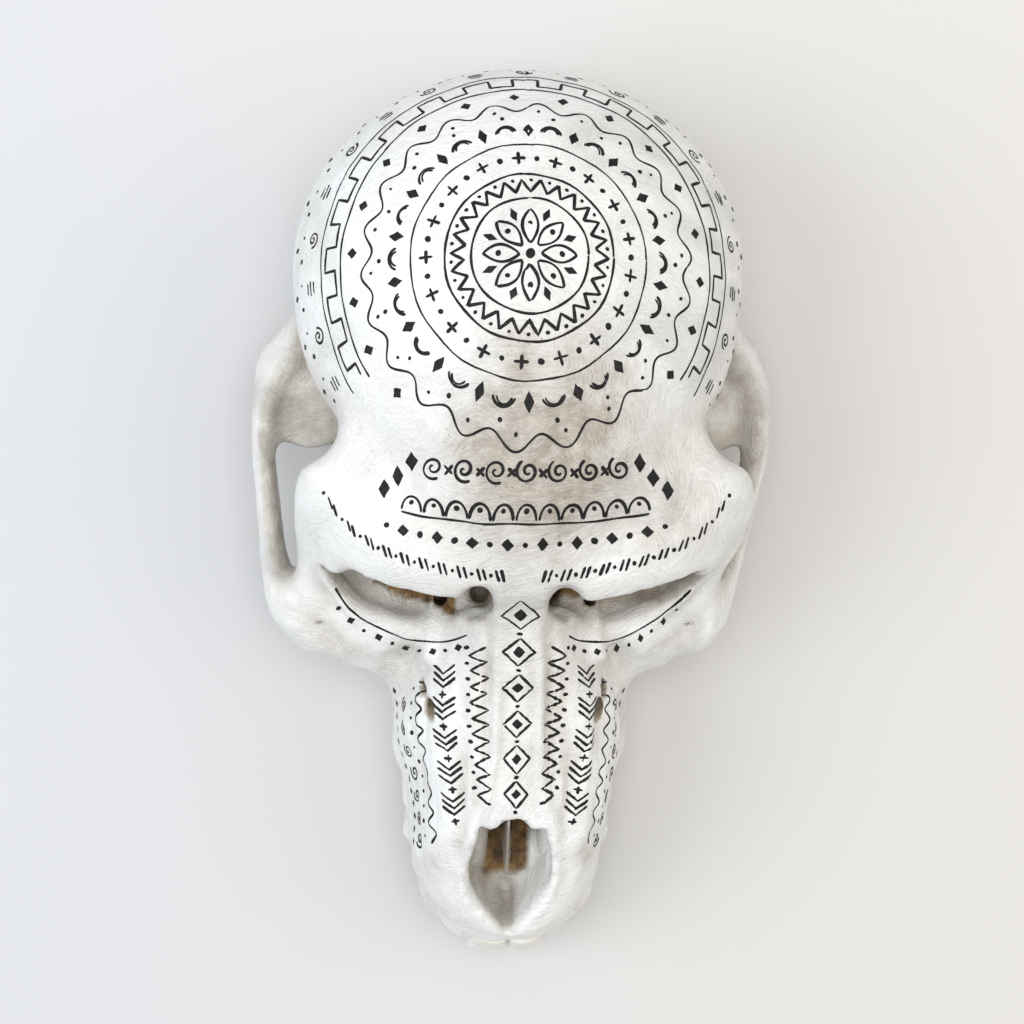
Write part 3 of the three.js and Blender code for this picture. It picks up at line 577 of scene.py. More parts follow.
def mix(tree, factor, a, b):
    """Mixes two colours, each a socket or three numbers."""
    m = node(tree, "ShaderNodeMix", data_type="RGBA")
    for socket, v in ((m.inputs[0], factor), (m.inputs[6], a), (m.inputs[7], b)):
        if isinstance(v, (int, float)):
            socket.default_value = v
        elif isinstance(v, tuple):
            socket.default_value = (*v, 1)
        else:
            tree.links.new(v, socket)
    return m.outputs[2]


def group(name, inputs, outputs):
    """Empty shader node group with named sockets; returns the tree and its two ends."""
    tree = bpy.data.node_groups.new(name, "ShaderNodeTree")
    for label, kind, value in inputs:
        s = tree.interface.new_socket(label, in_out="INPUT", socket_type=kind)
        if value is not None:
            s.default_value = value
    for label in outputs:
        tree.interface.new_socket(label, in_out="OUTPUT", socket_type="NodeSocketFloat")
    return tree, node(tree, "NodeGroupInput"), node(tree, "NodeGroupOutput")


def texture(tree, kind, vector, **sets):
    """A texture node read at a vector."""
    made = node(tree, kind, **sets)
    tree.links.new(vector, made.inputs["Vector"])
    return made


def brush_group():
    """Brush marks: noise drawn out along a direction that itself wanders, plus fine grain."""
    sockets = [("Vector", "NodeSocketVector", None), ("Size", "NodeSocketFloat", 900.0),
               ("Streak", "NodeSocketFloat", 0.22)]
    t, i, o = group("brush_marks", sockets, ["Height"])
    at = i.outputs["Vector"]
    bend = texture(t, "ShaderNodeTexNoise", at, in_Scale=45.0, in_Detail=1.0)
    spin = texture(t, "ShaderNodeVectorRotate", at, rotation_type="Z_AXIS")
    t.links.new(maths(t, "MULTIPLY", bend.outputs["Fac"], 2.6), spin.inputs["Angle"])
    shrink = node(t, "ShaderNodeCombineXYZ", in_X=1.0, in_Z=0.6)
    t.links.new(i.outputs["Streak"], shrink.inputs["Y"])
    drawn = node(t, "ShaderNodeVectorMath", operation="MULTIPLY")
    t.links.new(spin.outputs[0], drawn.inputs[0])
    t.links.new(shrink.outputs[0], drawn.inputs[1])
    hair = texture(t, "ShaderNodeTexNoise", drawn.outputs[0], in_Detail=4.0, in_Roughness=0.6)
    t.links.new(i.outputs["Size"], hair.inputs["Scale"])
    grain = texture(t, "ShaderNodeTexNoise", at, in_Scale=2600.0, in_Detail=2.0)
    hairs = maths(t, "MULTIPLY", hair.outputs["Fac"], 0.8)
    both = maths(t, "ADD", hairs, maths(t, "MULTIPLY", grain.outputs["Fac"], 0.25))
    t.links.new(both, o.inputs["Height"])
    return t


def stain_group():
    """Uneven stain: broad clouds broken up by finer ones, and a scatter of small specks."""
    sockets = [("Vector", "NodeSocketVector", None), ("Cloud", "NodeSocketFloat", 60.0),
               ("Speck", "NodeSocketFloat", 420.0)]
    t, i, o = group("stains", sockets, ["Mottle", "Specks"])
    at = i.outputs["Vector"]
    broad = texture(t, "ShaderNodeTexNoise", at, in_Detail=6.0, in_Roughness=0.65)
    t.links.new(i.outputs["Cloud"], broad.inputs["Scale"])
    t.links.new(ramp(t, broad.outputs["Fac"], [(0.36, 0), (0.68, 1)]), o.inputs["Mottle"])
    cell = texture(t, "ShaderNodeTexVoronoi", at, in_Randomness=1.0)
    t.links.new(i.outputs["Speck"], cell.inputs["Scale"])
    gate = texture(t, "ShaderNodeTexNoise", at, in_Scale=160.0, in_Detail=2.0)
    speck = maths(t, "LESS_THAN", cell.outputs["Distance"], 0.16)
    few = ramp(t, gate.outputs["Fac"], [(0.56, 0), (0.62, 1)])
    t.links.new(maths(t, "MULTIPLY", speck, few), o.inputs["Specks"])
    return t


BRUSH = brush_group()
STAIN = stain_group()


def material(name):
    """New node material; returns it, its tree, its Principled shader and Object coordinates."""
    m = bpy.data.materials.new(name)
    m.use_nodes = True
    t = m.node_tree
    coords = node(t, "ShaderNodeTexCoord")
    return m, t, t.nodes["Principled BSDF"], coords.outputs["Object"]


def placed(tree, which, vector, **values):
    """A group set into a material with its own values; returns its outputs."""
    g = node(tree, "ShaderNodeGroup", node_tree=which)
    for key, value in values.items():
        g.inputs[key].default_value = value
    tree.links.new(vector, g.inputs["Vector"])
    return g.outputs


def mark(tree, name):
    """A value kept on the mesh's points."""
    return node(tree, "ShaderNodeAttribute", attribute_name=name).outputs["Fac"]


def bump(tree, shader, height, strength, distance):
    """Height fed to the shader's normal."""
    b = node(tree, "ShaderNodeBump", in_Strength=strength, in_Distance=distance)
    tree.links.new(height, b.inputs["Height"])
    tree.links.new(b.outputs[0], shader.inputs["Normal"])


PAINT = ((0.83, 0.825, 0.80), (0.88, 0.885, 0.885))
PAINT_HAIR = (0.68, 0.67, 0.65)
# Brown of worn paint, also used as painted shade on the right brow.
RUBBED_AND_SHADED = ((0.31, 0.265, 0.22), (0.48, 0.43, 0.37))
# Grey-brown for painted shade and a little grime.
SHADE_AND_GRIME = ((0.38, 0.335, 0.28), (0.56, 0.525, 0.465))
# Colour of bare bone, also used as painted shade over the right socket's floor.
BARE_BONE_AND_SHADE = ((0.055, 0.026, 0.009), (0.32, 0.19, 0.06))
SPECK = (0.16, 0.12, 0.08)
ENAMEL_TONES = ((0.80, 0.785, 0.74), (0.88, 0.87, 0.84))
TOOTH_NECK = (0.73, 0.695, 0.63)
INK_TONES = ((0.004, 0.004, 0.005), (0.014, 0.013, 0.013))
THIN_INK = (0.075, 0.072, 0.07)
# Painted light: the cool left and warm right tints of the lamps on the floor.
FLOOR_LIGHT_TINTS = ((0.602, 0.611, 0.642), (0.66, 0.635, 0.592))


def painted_bone():
    """White satin paint over bone: brush marks, brown-grey rubbed paint on the forehead and painted
    shade in that brown on the right brow, bare bone in the hollows and painted shade in its colour
    over the right socket, and painted shade with a little grime where the surface turns in."""
    m, t, s, co = material("painted_bone")
    mottle = placed(t, STAIN, co, Cloud=75.0, Speck=900.0)["Mottle"]
    fine = placed(t, STAIN, co, Cloud=300.0, Speck=900.0)
    fine_mottle = fine["Mottle"]
    brush = placed(t, BRUSH, co, Size=2100.0, Streak=0.13)["Height"]
    broad = placed(t, BRUSH, co, Size=700.0, Streak=0.22)["Height"]
    raw_and_shade, rub_and_shade, shade_and_dirt = (mark(t, name) for name in ("raw_and_shade", "rub_and_shade", "shade_and_dirt"))
    hairs = ramp(t, brush, [(0.42, 0), (0.62, 1)])
    white = mix(t, maths(t, "MULTIPLY", hairs, 0.32), mix(t, mottle, *PAINT), PAINT_HAIR)
    how = maths(t, "MULTIPLY", rub_and_shade, maths(t, "ADD", maths(t, "MULTIPLY", hairs, 0.3), 0.82))
    # Rubbed brown paint, also serving as painted shade on the right brow.
    colour = mix(t, how, white, mix(t, fine_mottle, *RUBBED_AND_SHADED))
    # Painted shade, with a little grime, laid in a grey-brown tone.
    colour = mix(t, maths(t, "MULTIPLY", shade_and_dirt, 0.88), colour, mix(t, fine_mottle, *SHADE_AND_GRIME))
    # Bare bone, also serving as painted shade over the right socket's floor.
    colour = mix(t, raw_and_shade, colour, mix(t, fine_mottle, *BARE_BONE_AND_SHADE))
    rub_specks = maths(t, "ADD", maths(t, "MULTIPLY", rub_and_shade, 0.6), 0.2)
    colour = mix(t, maths(t, "MULTIPLY", fine["Specks"], rub_specks), colour, SPECK)
    t.links.new(colour, s.inputs["Base Color"])
    rough = mix(t, raw_and_shade, ramp(t, mottle, [(0, 0.26), (1, 0.38)]), (0.8, 0.8, 0.8))
    t.links.new(rough, s.inputs["Roughness"])
    s.inputs["Specular IOR Level"].default_value = 0.5
    s.inputs["Coat Weight"].default_value = 0.25
    s.inputs["Coat Roughness"].default_value = 0.22
    bump(t, s, maths(t, "ADD", brush, maths(t, "MULTIPLY", broad, 1.6)), 1.0, 0.0003)
    return m


def enamel():
    """Cream enamel, stained brown towards the root, with fine upright lines."""
    m, t, s, co = material("tooth_enamel")
    mottle = placed(t, STAIN, co, Cloud=300.0, Speck=800.0)["Mottle"]
    colour = mix(t, mark(t, "neck"), mix(t, mottle, *ENAMEL_TONES), TOOTH_NECK)
    t.links.new(colour, s.inputs["Base Color"])
    s.inputs["Roughness"].default_value = 0.28
    s.inputs["Coat Weight"].default_value = 0.25
    bump(t, s, placed(t, BRUSH, co, Size=1500.0, Streak=0.9)["Height"], 0.3, 0.0001)
    return m


def black_ink():
    """Pen ink, near black, thinner and greyer where the pen ran dry."""
    m, t, s, co = material("black_ink")
    mottle = placed(t, STAIN, co, Cloud=900.0, Speck=1500.0)["Mottle"]
    brush = placed(t, BRUSH, co, Size=2200.0, Streak=0.3)["Height"]
    thin = ramp(t, brush, [(0.55, 0), (0.72, 1)])
    colour = mix(t, maths(t, "MULTIPLY", thin, 0.35), mix(t, mottle, *INK_TONES), THIN_INK)
    t.links.new(colour, s.inputs["Base Color"])
    s.inputs["Roughness"].default_value = 0.6
    s.inputs["Specular IOR Level"].default_value = 0.22
    return m


BONE = painted_bone()
ENAMEL = enamel()
INK = black_ink()

# The bone


def bare_bone_and_shade(P, A):
    """Mark for bone without paint: deep in the sockets and the nose, and in every channel; over the
    right socket's floor it is partly painted shade.
    A is P with its x made positive; the edge of the paint wanders a little."""
    wander = 1.2 * cloud(P, 2.6, 21)
    depth = along_orbit(A)[0]
    height = along_nose(A)[1]
    left = rise(P[1] + 14.6 + 0.39 * (26 - A[0]) + wander, 0.8) * (A[0] > 12.5) * (A[0] < 28)
    right = rise(P[1] + 16.6 + wander, 0.8) * (A[0] > 6.5) * (A[0] < 17)
    # Painted shade: bare-bone colour laid partly over the floor of the right socket.
    right = right + 0.4 * rise(P[1] + 17.6 + wander, 1.5) * (A[0] > 16) * (A[0] < 31)
    socket = np.where(P[0] < 0, left, right) * (P[1] < -8)
    socket = np.maximum(socket, rise(depth - 9 - 2 * wander, 4)) * (orbit(A) < 1.5)
    nose = rise(P[1] + 74.0 + wander, 1.6) * rise(5.6 - A[0] + 0.4 * wander, 1.2)
    nose = nose * rise(-height - 4, 2) * (nose_opening(A) < 1.2)
    hole = np.maximum.reduce([rise(0.5 - limb(A, *channel), 0.8) for channel in HOLES.values()])
    spine = rise(0.6 - limb(A, *SPINAL_OPENING), 1) * (P[2] > 24)
    rear = rise(0.6 - limb(A, *REAR_NOSE), 1) * (P[1] < -10)
    return np.clip(np.maximum.reduce([socket, nose, hole * 0.85, spine, rear]), 0, 1)


def rubbed_paint_and_shade(P, n):
    """Mark for worn, browned paint on the forehead, painted shade in the same brown on the right brow,
    and a faint brown trace on the crown, left out on its left side.
    """
    up = np.clip(n[2], 0, 1)
    rub_and_shade = bell(P[0] + 1.5 * cloud(P, 9.0, 24), 2, 17) * bell(P[1], 10, 18) * up
    # The second term is painted shade: the rubbed brown laid on the right brow only.
    rub_and_shade = rub_and_shade * 1.85 + 0.45 * bell(P[0], 28, 11) * bell(P[1], -2, 9) * up
    crown = 0.12 * bell(P[1], 30, 45) * (P[0] > -10)
    return np.clip(rub_and_shade * (0.85 + 0.5 * cloud(P, 5.0, 23)) + crown, 0, 1)


def shade_and_dirt_marks(P, A, n):
    """Mark for painted shade and some grime: painted shade where the bone turns in, behind the
    cheekbones along with a grey-brown stain, in the sockets (fuller on the right), on the left wall
    of the nose (its right wall is kept clear, as painted light), in three spots near the tip (the
    middle one painted shade at the gap between the front teeth), and grey in the grooves of the
    relief, part grime and part painted shade."""
    # Painted shade: darker where little open space lies outside the surface, in recesses and under
    # overhangs.
    near = rise(skull(*(P + 2.5 * n)), 2.5)
    far = rise(skull(*(P + 7 * n)), 7)
    shade_and_dirt = np.clip((1 - near) * 1.6, 0, 1) * 0.6 + (1 - far) * 0.35
    # Painted shade with a grey-brown stain in the temple hollows behind the cheekbones, less on faces
    # turned outwards.
    temple = rise(A[0] - 33, 4) * bell(P[1], 12, 24) * rise(50 - P[2], 8)
    temple = temple * np.clip(1.2 - np.clip(np.sign(P[0]) * n[0], 0, 1) * 1.6, 0, 1)
    temple = 1.1 * temple * (0.8 + 0.4 * cloud(P, 6.0, 25))
    # Painted shade deep in the sockets behind their mouths, fuller on the right side than on the left.
    socket = (orbit(A) < 1.2) * rise(P[1] + 18.5, 3) * np.where(P[0] > 0, 1.0, 0.45)
    # Painted shade on the left wall of the nose opening.
    nostril = (nose_opening(A) < 1.0) * rise(-1 - along_nose(A)[1], 2)
    left_wall = 0.85 * nostril * np.clip(0.6 - P[0] / 4, 0, 1)
    # Painted light: shade is cleared from the right wall of the nose opening.
    shade_and_dirt = shade_and_dirt * (1 - 0.85 * nostril * rise(P[0] - 2, 3))
    # Three darker spots near the tip; the middle one is painted shade at the gap between the front
    # teeth.
    spots = 0.7 * bell(P[0], 15.7, 2.6) * bell(P[1], -68.3, 3.2) * (P[2] > 17)
    spots = spots + 0.6 * bell(P[0], -15.5, 2.4) * bell(P[1], -70, 3.0) * (P[2] > 17)
    spots = spots + 0.9 * bell(P[0], 0, 2.6) * bell(P[1], -87.6, 1.4) * (P[2] < 15)
    # Grey in the grooves of the relief: part grime, part painted shade.
    groove = 0.55 * np.clip(-relief(P, n) - 0.12, 0, 0.7) * rise(4 - P[1], 6)
    return np.clip(shade_and_dirt + temple + socket + left_wall + spots + groove, 0, 1)


GRID_STEP = 0.875


def bone_skin():
    """The whole skull as one skin, with marks for bare bone, rubbed paint, grime and painted shade."""
    fine = GRID_STEP
    half_x = ticks(0, (46, fine), (57, fine * 0.85))
    ys = ticks(-92, (12, fine * 0.95), (93, fine * 1.35))
    zs = ticks(-1, (94, fine * 1.05))
    D = skull(*np.meshgrid(half_x, ys, zs, indexing="ij"))
    D = np.concatenate([D[:0:-1], D])
    P, faces = wrap(D, [np.concatenate([-half_x[:0:-1], half_x]), ys, zs])
    P, n = settle(P, 2)
    A = (np.abs(P[0]), P[1], P[2])
    marks = {"raw_and_shade": bare_bone_and_shade(P, A), "rub_and_shade": rubbed_paint_and_shade(P, n), "shade_and_dirt": shade_and_dirt_marks(P, A, n)}
    skin = piece("skull_bone", rest(finish_points(P, n)), faces, BONE, marks)
    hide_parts("braincase", "face", "muzzle", "premaxilla", "zygomatic_arch_left",
                "zygomatic_arch_right")


bone_skin()

# Teeth


def closed_tube(rings, around):
    """Faces of stacked rings, closed by a point at each end (point 0 and the last)."""
    i = np.arange(around)
    j = (i + 1) % around
    none = 0 * i - 1
    starts = 1 + around * np.arange(rings)
    first = np.stack([0 * i, 1 + j, 1 + i, none], 1)
    body = [np.stack([a + i, a + j, b + j, b + i], 1) for a, b in zip(starts, starts[1:])]
    last = np.stack([starts[-1] + i, starts[-1] + j, 0 * i + starts[-1] + around, none], 1)
    return np.concatenate([first, *body, last])


def once_round(count):
    """Angles once round, the first at 0."""
    return np.linspace(0, FULL, count, endpoint=False)


def rounded_box(a, power):
    """Places at angles a on a square with rounded corners: |x| and |y| to a power add up to 1."""
    reach = (np.abs(np.cos(a)) ** power + np.abs(np.sin(a)) ** power) ** (-1 / power)
    return np.cos(a) * reach, np.sin(a) * reach


def stacked(X, Y, Z):
    """Points of rings (rings x around) with the ring means as end points."""
    def line(A):
        return np.concatenate([[A[0].mean()], A.ravel(), [A[-1].mean()]])
    return np.stack([line(X), line(Y), line(Z)])


def tooth_skin(X, Y, Z, neck_from):
    """Closed skin of stacked rings, with a mark that fades in over 2.5 mm above the neck."""
    neck = rise(Z - neck_from, 2.5)
    return stacked(X, Y, Z), closed_tube(*X.shape), np.concatenate([[1], neck.ravel(), [0]])


def joined(parts):
    """Several (points, faces, mark) as one."""
    base_i, P, F, M = 0, [], [], []
    for p, f, m in parts:
        P.append(p)
        F.append(np.where(f >= 0, f + base_i, -1))
        M.append(m)
        base_i += p.shape[1]
    return np.concatenate(P, 1), np.concatenate(F), np.concatenate(M)


def cheek_tooth(tooth, side, seed):
    """Crown: a rounded-box outline from root to rim, then over the rim to a chewing face whose
    height dips between paired cusps joined by cross ridges."""
    around, wall, cap = 40, 12, 10
    root_top = 12.5
    t = np.concatenate([np.linspace(0, 1, wall), np.ones(cap)])[:, None]
    inward = np.concatenate([np.ones(wall), np.linspace(0.96, 0.05, cap)])[:, None]
    c, s = rounded_box(once_round(around)[None], 3.0)
    belly = 0.80 + 0.20 * np.sin(np.pi * np.clip(t * 0.86, 0, 1)) ** 0.8 - 0.07 * t**6
    waist = 1 - (0.10 * np.exp(-(s / 0.22) ** 2) * (np.abs(c) > 0.5) if tooth["cusps"] == 2 else 0)
    u, v = c * inward, s * inward
    long = tooth["y1"] - tooth["y0"]
    X = side * tooth["side"] + tooth["wide"] / 2 * u * belly * waist
    Y = (tooth["y0"] + tooth["y1"]) / 2 + long / 2 * v * (belly * 0.5 + 0.49)
    if tooth["cusps"] == 2:
        ridge = np.exp(-((np.abs(v) - 0.48) / 0.27) ** 2)
    else:
        ridge = np.exp(-(v / 0.5) ** 2)
    cusp = 0.62 + 0.38 * np.exp(-((np.abs(u) - 0.52) / 0.26) ** 2)
    rng = np.random.default_rng(seed)
    worn = 0.25 + 0.15 * rng.random()
    bite = 2.3 * (1 - ridge * cusp) * (1 - 0.25 * worn)
    rim = rise(np.maximum(np.abs(u), np.abs(v)) - 0.8, 0.25) ** 2
    low = bite + 0.9 * rim
    Z = np.where(np.arange(wall + cap)[:, None] < wall, root_top + (low - root_top) * t, low)
    return tooth_skin(X, Y, Z, 5.2)


def canine_tooth(side):
    """Cone of oval section, bowed back, with a groove down its front."""
    a = once_round(28)[None]
    t = np.linspace(0, 1, 22)[:, None]
    r = 3.3 * (1 - 0.25 * t - 0.64 * t**3.2) * (1 - 0.12 * np.exp(-((a - 4.4) / 0.3) ** 2))
    X = side * (14.1 + 0.4 * np.sin(np.pi * t)) + side * 0.92 * r * np.cos(a)
    Y = -78.4 + 2.2 * t**2 + 1.1 * r * np.sin(a)
    Z = 14 - 17.3 * t + 0 * a
    order = slice(None) if side > 0 else slice(None, None, -1)
    return tooth_skin(X[:, order], Y[:, order], Z[:, order], 5.5)


INCISORS = [dict(side=4.02, front=-89.7, turn=0.2, wide=8.0, thick=5.0, tall=10.6),
            dict(side=10.0, front=-85.9, turn=0.75, wide=6.4, thick=4.8, tall=9.8)]
INCISOR_LEAN = 0.34


def incisor_tooth(tooth, side, seed):
    """Blade: a rounded-box section that widens and thins from the root to a worn edge."""
    around, wall, cap = 32, 16, 4
    t = np.concatenate([np.linspace(0, 1, wall), np.ones(cap)])[:, None]
    inward = np.concatenate([np.ones(wall), np.linspace(0.9, 0.05, cap)])[:, None]
    u, v = (w * inward for w in rounded_box(once_round(around)[None], 2.6))
    total = tooth["tall"] + 6
    waist = 0.88 + 0.12 * rise(t, 0.7)
    blade = 1 - 0.70 * rise(t - 0.3, 0.7) ** 0.9
    rng = np.random.default_rng(seed)
    X = tooth["wide"] / 2 * waist * u
    Y = tooth["thick"] / 2 * blade * v * (1 - 0.15 * u * u)
    Z = total / 2 - total * t + np.where(t > 0.99, 0.6 * u * u + 0.25 * rng.random() * u, 0)
    c, s = math.cos(-INCISOR_LEAN), math.sin(-INCISOR_LEAN)
    Y, Z = Y * c - Z * s, Y * s + Z * c
    c, s = math.cos(side * tooth["turn"]), math.sin(side * tooth["turn"])
    X, Y = X * c - Y * s, X * s + Y * c
    X = X + side * tooth["side"]
    Y = Y + tooth["front"] + 1.2
    Z = Z + 1 + total / 2
    return tooth_skin(X, Y, Z, 7.0)


def set_teeth():
    """Rows of teeth of both sides, one piece for each kind."""
    sides = (-1, 1)
    chewing = [cheek_tooth(t, side, 40 + i) for side in sides for i, t in enumerate(CHEEK_TEETH)]
    canines = [canine_tooth(side) for side in sides]
    biting = [incisor_tooth(t, side, 50 + i) for side in sides for i, t in enumerate(INCISORS)]
    kinds = {"cheek_teeth": chewing, "canine_teeth": canines, "incisor_teeth": biting}
    for name, parts in kinds.items():
        P, faces, neck = joined(parts)
        row = piece(name, rest(P), faces[:, ::-1], ENAMEL, {"neck": neck})


set_teeth()

# The plates in the nose

# The last value of each plate sets its painted shade: dark on the partition and the left scroll, faint
# on the right scroll.
NOSE_PLATES = [dict(at=-0.4, thick=0.42, deep=6.0, back=0.8, shade_and_dirt=0.9),
               dict(at=-7.4, thick=2.5, deep=5.0, back=0.8, shade_and_dirt=0.7),
               dict(at=7.6, thick=2.5, deep=5.0, back=1.2, shade_and_dirt=0.15)]
NOSE_PLATE_TOP = 42
NOSE_PLATE_TALL = 27


def nose_plate(at, thick, deep, back, shade_and_dirt):
    """Oval sections from the top down, set along a sloping front edge and flared at the foot."""
    around, rings = 24, 20
    a = once_round(around)[None]
    t = np.linspace(0, 1, rings)[:, None]
    front = -63.0 - 12.8 * t**1.1 + back
    flare = thick * (1 + 0.12 * np.sin(5 * t + at)) + 1.4 * t**5
    lean = 0.8 * (1 - t) * (abs(at) < 1)
    X = at * (1 + 0.05 * t) - lean + flare * np.cos(a)
    Y = front + deep + deep * np.sin(a)
    Z = NOSE_PLATE_TOP - NOSE_PLATE_TALL * t + 0 * a
    return stacked(X, Y, Z), closed_tube(rings, around), np.full(rings * around + 2, shade_and_dirt)


def nose_plates():
    """The partition and the side scrolls in the nose, as one piece."""
    P, faces, shade_and_dirt = joined([nose_plate(**plate) for plate in NOSE_PLATES])
    marks = {"raw_and_shade": 0 * shade_and_dirt, "rub_and_shade": 0 * shade_and_dirt, "shade_and_dirt": shade_and_dirt}
    piece("nose_plates", rest(P), faces[:, ::-1], BONE, marks)


nose_plates()

# The ink drawing

CROWN = np.array((0.0, 44.0, 50.0))
INK_RNG = np.random.default_rng(7)
LINES, SPOTS = [], []

# Heights of the ink over the bone in mm: its middle, its shoulders, its sunk edge and underside

INK_TOP, INK_SHOULDER, INK_EDGE, INK_UNDER = 0.085, 0.06, -0.03, -0.22


def over_crown(p, q):
    """Rays to the vault from a sheet laid over the crown: way from the middle becomes an angle."""
    s = np.hypot(p, q) / 40
    share = np.sinc(s / np.pi) / 40
    V = np.stack([p * share, q * share, np.cos(s)])
    return CROWN[:, None] + 75 * V, -V


def from_above(p, q):
    """Rays straight down from a flat sheet."""
    return np.stack([p, q, 0 * p + 110]), np.stack([0 * p, 0 * p, 0 * p - 1])


def round_muzzle(p, q):
    """Rays to the muzzle from a sheet rolled round it: p goes round, q goes along."""
    a = p / 21
    V = np.stack([np.sin(a), 0 * a, np.cos(a)])
    return np.stack([0 * a, q, 0 * a + 22]) + 55 * V, -V


def land(O, V):
    """Follows rays from outside until they meet the bone, then settles them on it."""
    t = np.zeros(O.shape[1])
    for _ in range(34):
        t = t + 0.8 * skull(*(O + t * V))
    return settle(O + t * V, 2)


def line(sheet, path, wide=0.3):
    """Keeps one pen stroke: stations along its path, a little unsteady, thinner at both ends."""
    path = np.array(path, float)
    far = np.concatenate([[0], np.cumsum(np.hypot(*np.diff(path, axis=0).T))])
    end = far[-1]
    even = np.linspace(0, end, int(np.clip(end / 0.8, 3, 230)))
    s = np.concatenate([even, far, [wide * 0.3, wide, end - wide, end - wide * 0.3]])
    s = np.unique(np.round(s, 2).clip(0, end))
    p, q = (np.interp(s, far, path[:, i]) for i in range(2))
    a = INK_RNG.uniform(0, 6.28, 3)
    p = p + 0.09 * np.sin(s / 2.1 + a[0])
    q = q + 0.09 * np.sin(s / 1.7 + a[1])
    w = wide * INK_RNG.uniform(0.85, 1.15) * (1 + 0.16 * np.sin(s / 1.1 + a[2]))
    w = w * np.sqrt(np.clip(np.minimum(s, end - s) / wide, 0.02, 1))
    LINES.append((*sheet(p, q), w))


SPOT_SIDES = 16
SPOT_ANGLES = once_round(SPOT_SIDES)


def spot(sheet, at, reach, turn=0.0):
    """Keeps one filled mark: reach is its outline's distance from the middle at SPOT_ANGLES."""
    a = SPOT_ANGLES
    sway = 0.07 * np.sin(2 * a + INK_RNG.uniform(0, 6.28))
    r = reach * (1 + sway + INK_RNG.uniform(-0.04, 0.04, SPOT_SIDES))
    f = np.array([0.5, 0.86, 1.0])[:, None]
    turn = turn + INK_RNG.uniform(-0.05, 0.05)
    p = np.concatenate([[0], (f * r * np.cos(a + turn)).ravel(), [0]]) + at[0]
    q = np.concatenate([[0], (f * r * np.sin(a + turn)).ravel(), [0]]) + at[1]
    SPOTS.append(sheet(p, q))


def diamond(size, tall=1.0):
    """Reach of a square set on its corner, drawn out by tall."""
    return size / (np.abs(np.cos(SPOT_ANGLES)) + np.abs(np.sin(SPOT_ANGLES)) / tall)


def place(at, turn, points):
    """Points of a small figure turned and moved to their place on a sheet."""
    c, s = math.cos(turn), math.sin(turn)
    points = np.array(points, float)
    return points @ np.array([[c, s], [-s, c]]) + np.array(at)


def round_about(radius, angle):
    """A place on a circle round the middle of a sheet."""
    return radius * math.cos(angle), radius * math.sin(angle)


def round_line(sheet, radius, angles, wide):
    """Stroke round the middle of a sheet, at one radius or at a radius for each angle."""
    line(sheet, np.stack([radius * np.cos(angles), radius * np.sin(angles)], 1), wide)


def ring(sheet, radius, wide):
    """Circle round the middle of a sheet."""
    round_line(sheet, radius, np.linspace(0, FULL, 60), wide)


def dot(sheet, at, size):
    """Round dot."""
    spot(sheet, at, np.full(SPOT_SIDES, size * INK_RNG.uniform(0.85, 1.15)))


def lozenge(sheet, at, turn, size, tall, filled=True, wide=0.28):
    """Figure with four corners, longer along its second direction."""
    if filled:
        spot(sheet, at, diamond(size, tall), turn)
    else:
        t = size * tall
        line(sheet, place(at, turn, [(0, t), (size, 0), (0, -t), (-size, 0), (0, t)]), wide)


def cross(sheet, at, turn, size, wide=0.3):
    """Two strokes of equal length at right angles."""
    line(sheet, place(at, turn, [(-size, 0), (size, 0)]), wide)
    line(sheet, place(at, turn, [(0, -size), (0, size)]), wide)


def crescent(sheet, at, turn, size, wide=0.62):
    """Half ring, thick in the middle."""
    a = np.linspace(0.25, math.pi - 0.25, 20)
    outer = np.stack([size * np.cos(a), size * np.sin(a) - size * 0.5], 1)
    line(sheet, place(at, turn, outer), wide * 0.5)
    inner = np.stack([0.72 * size * np.cos(a), 0.8 * size * np.sin(a) - size * 0.45], 1)
    line(sheet, place(at, turn, inner), wide * 0.42)


def spiral(sheet, at, turn, size, wide=0.27, hand=1):
    """Spiral of one and three quarter turns."""
    a = np.linspace(0.6, 11.0, 44)
    r = size * a / 11
    line(sheet, place(at, turn, np.stack([r * np.cos(a), hand * r * np.sin(a)], 1)), wide)


def zigzag(low, high, count, along):
    """Places along, and heights that go between low and high at them."""
    turns = np.arange(2 * count + 1)
    return np.linspace(along[0], along[1], 2 * count + 1), np.where(turns % 2 == 0, low, high)


def meander(count, tall):
    """Square wave over the places 0 to count."""
    path = []
    for i in range(count):
        old, new = (0, tall) if i % 2 == 0 else (tall, 0)
        path += [(i, old), (i + 0.5, old), (i + 0.5, new), (i + 1, new)]
    return np.array(path, float)


def draw_rosette(sheet):
    """Eight petals of two bowed strokes, with a dot in each and a filled mark between them."""
    dot(sheet, (0, 0), 0.9)
    along = np.linspace(0, 1, 16)
    for i in range(8):
        a = i * FULL / 8
        for hand in (-1, 1):
            petal = np.stack([1.9 + 6.4 * along, hand * 1.5 * np.sin(np.pi * along) ** 0.9], 1)
            line(sheet, place((0, 0), a, petal), 0.3)
        dot(sheet, round_about(5.6, a), 0.5)
        lozenge(sheet, round_about(7.6, a + FULL / 16), a + FULL / 16 + math.pi / 2, 0.75, 1.9)


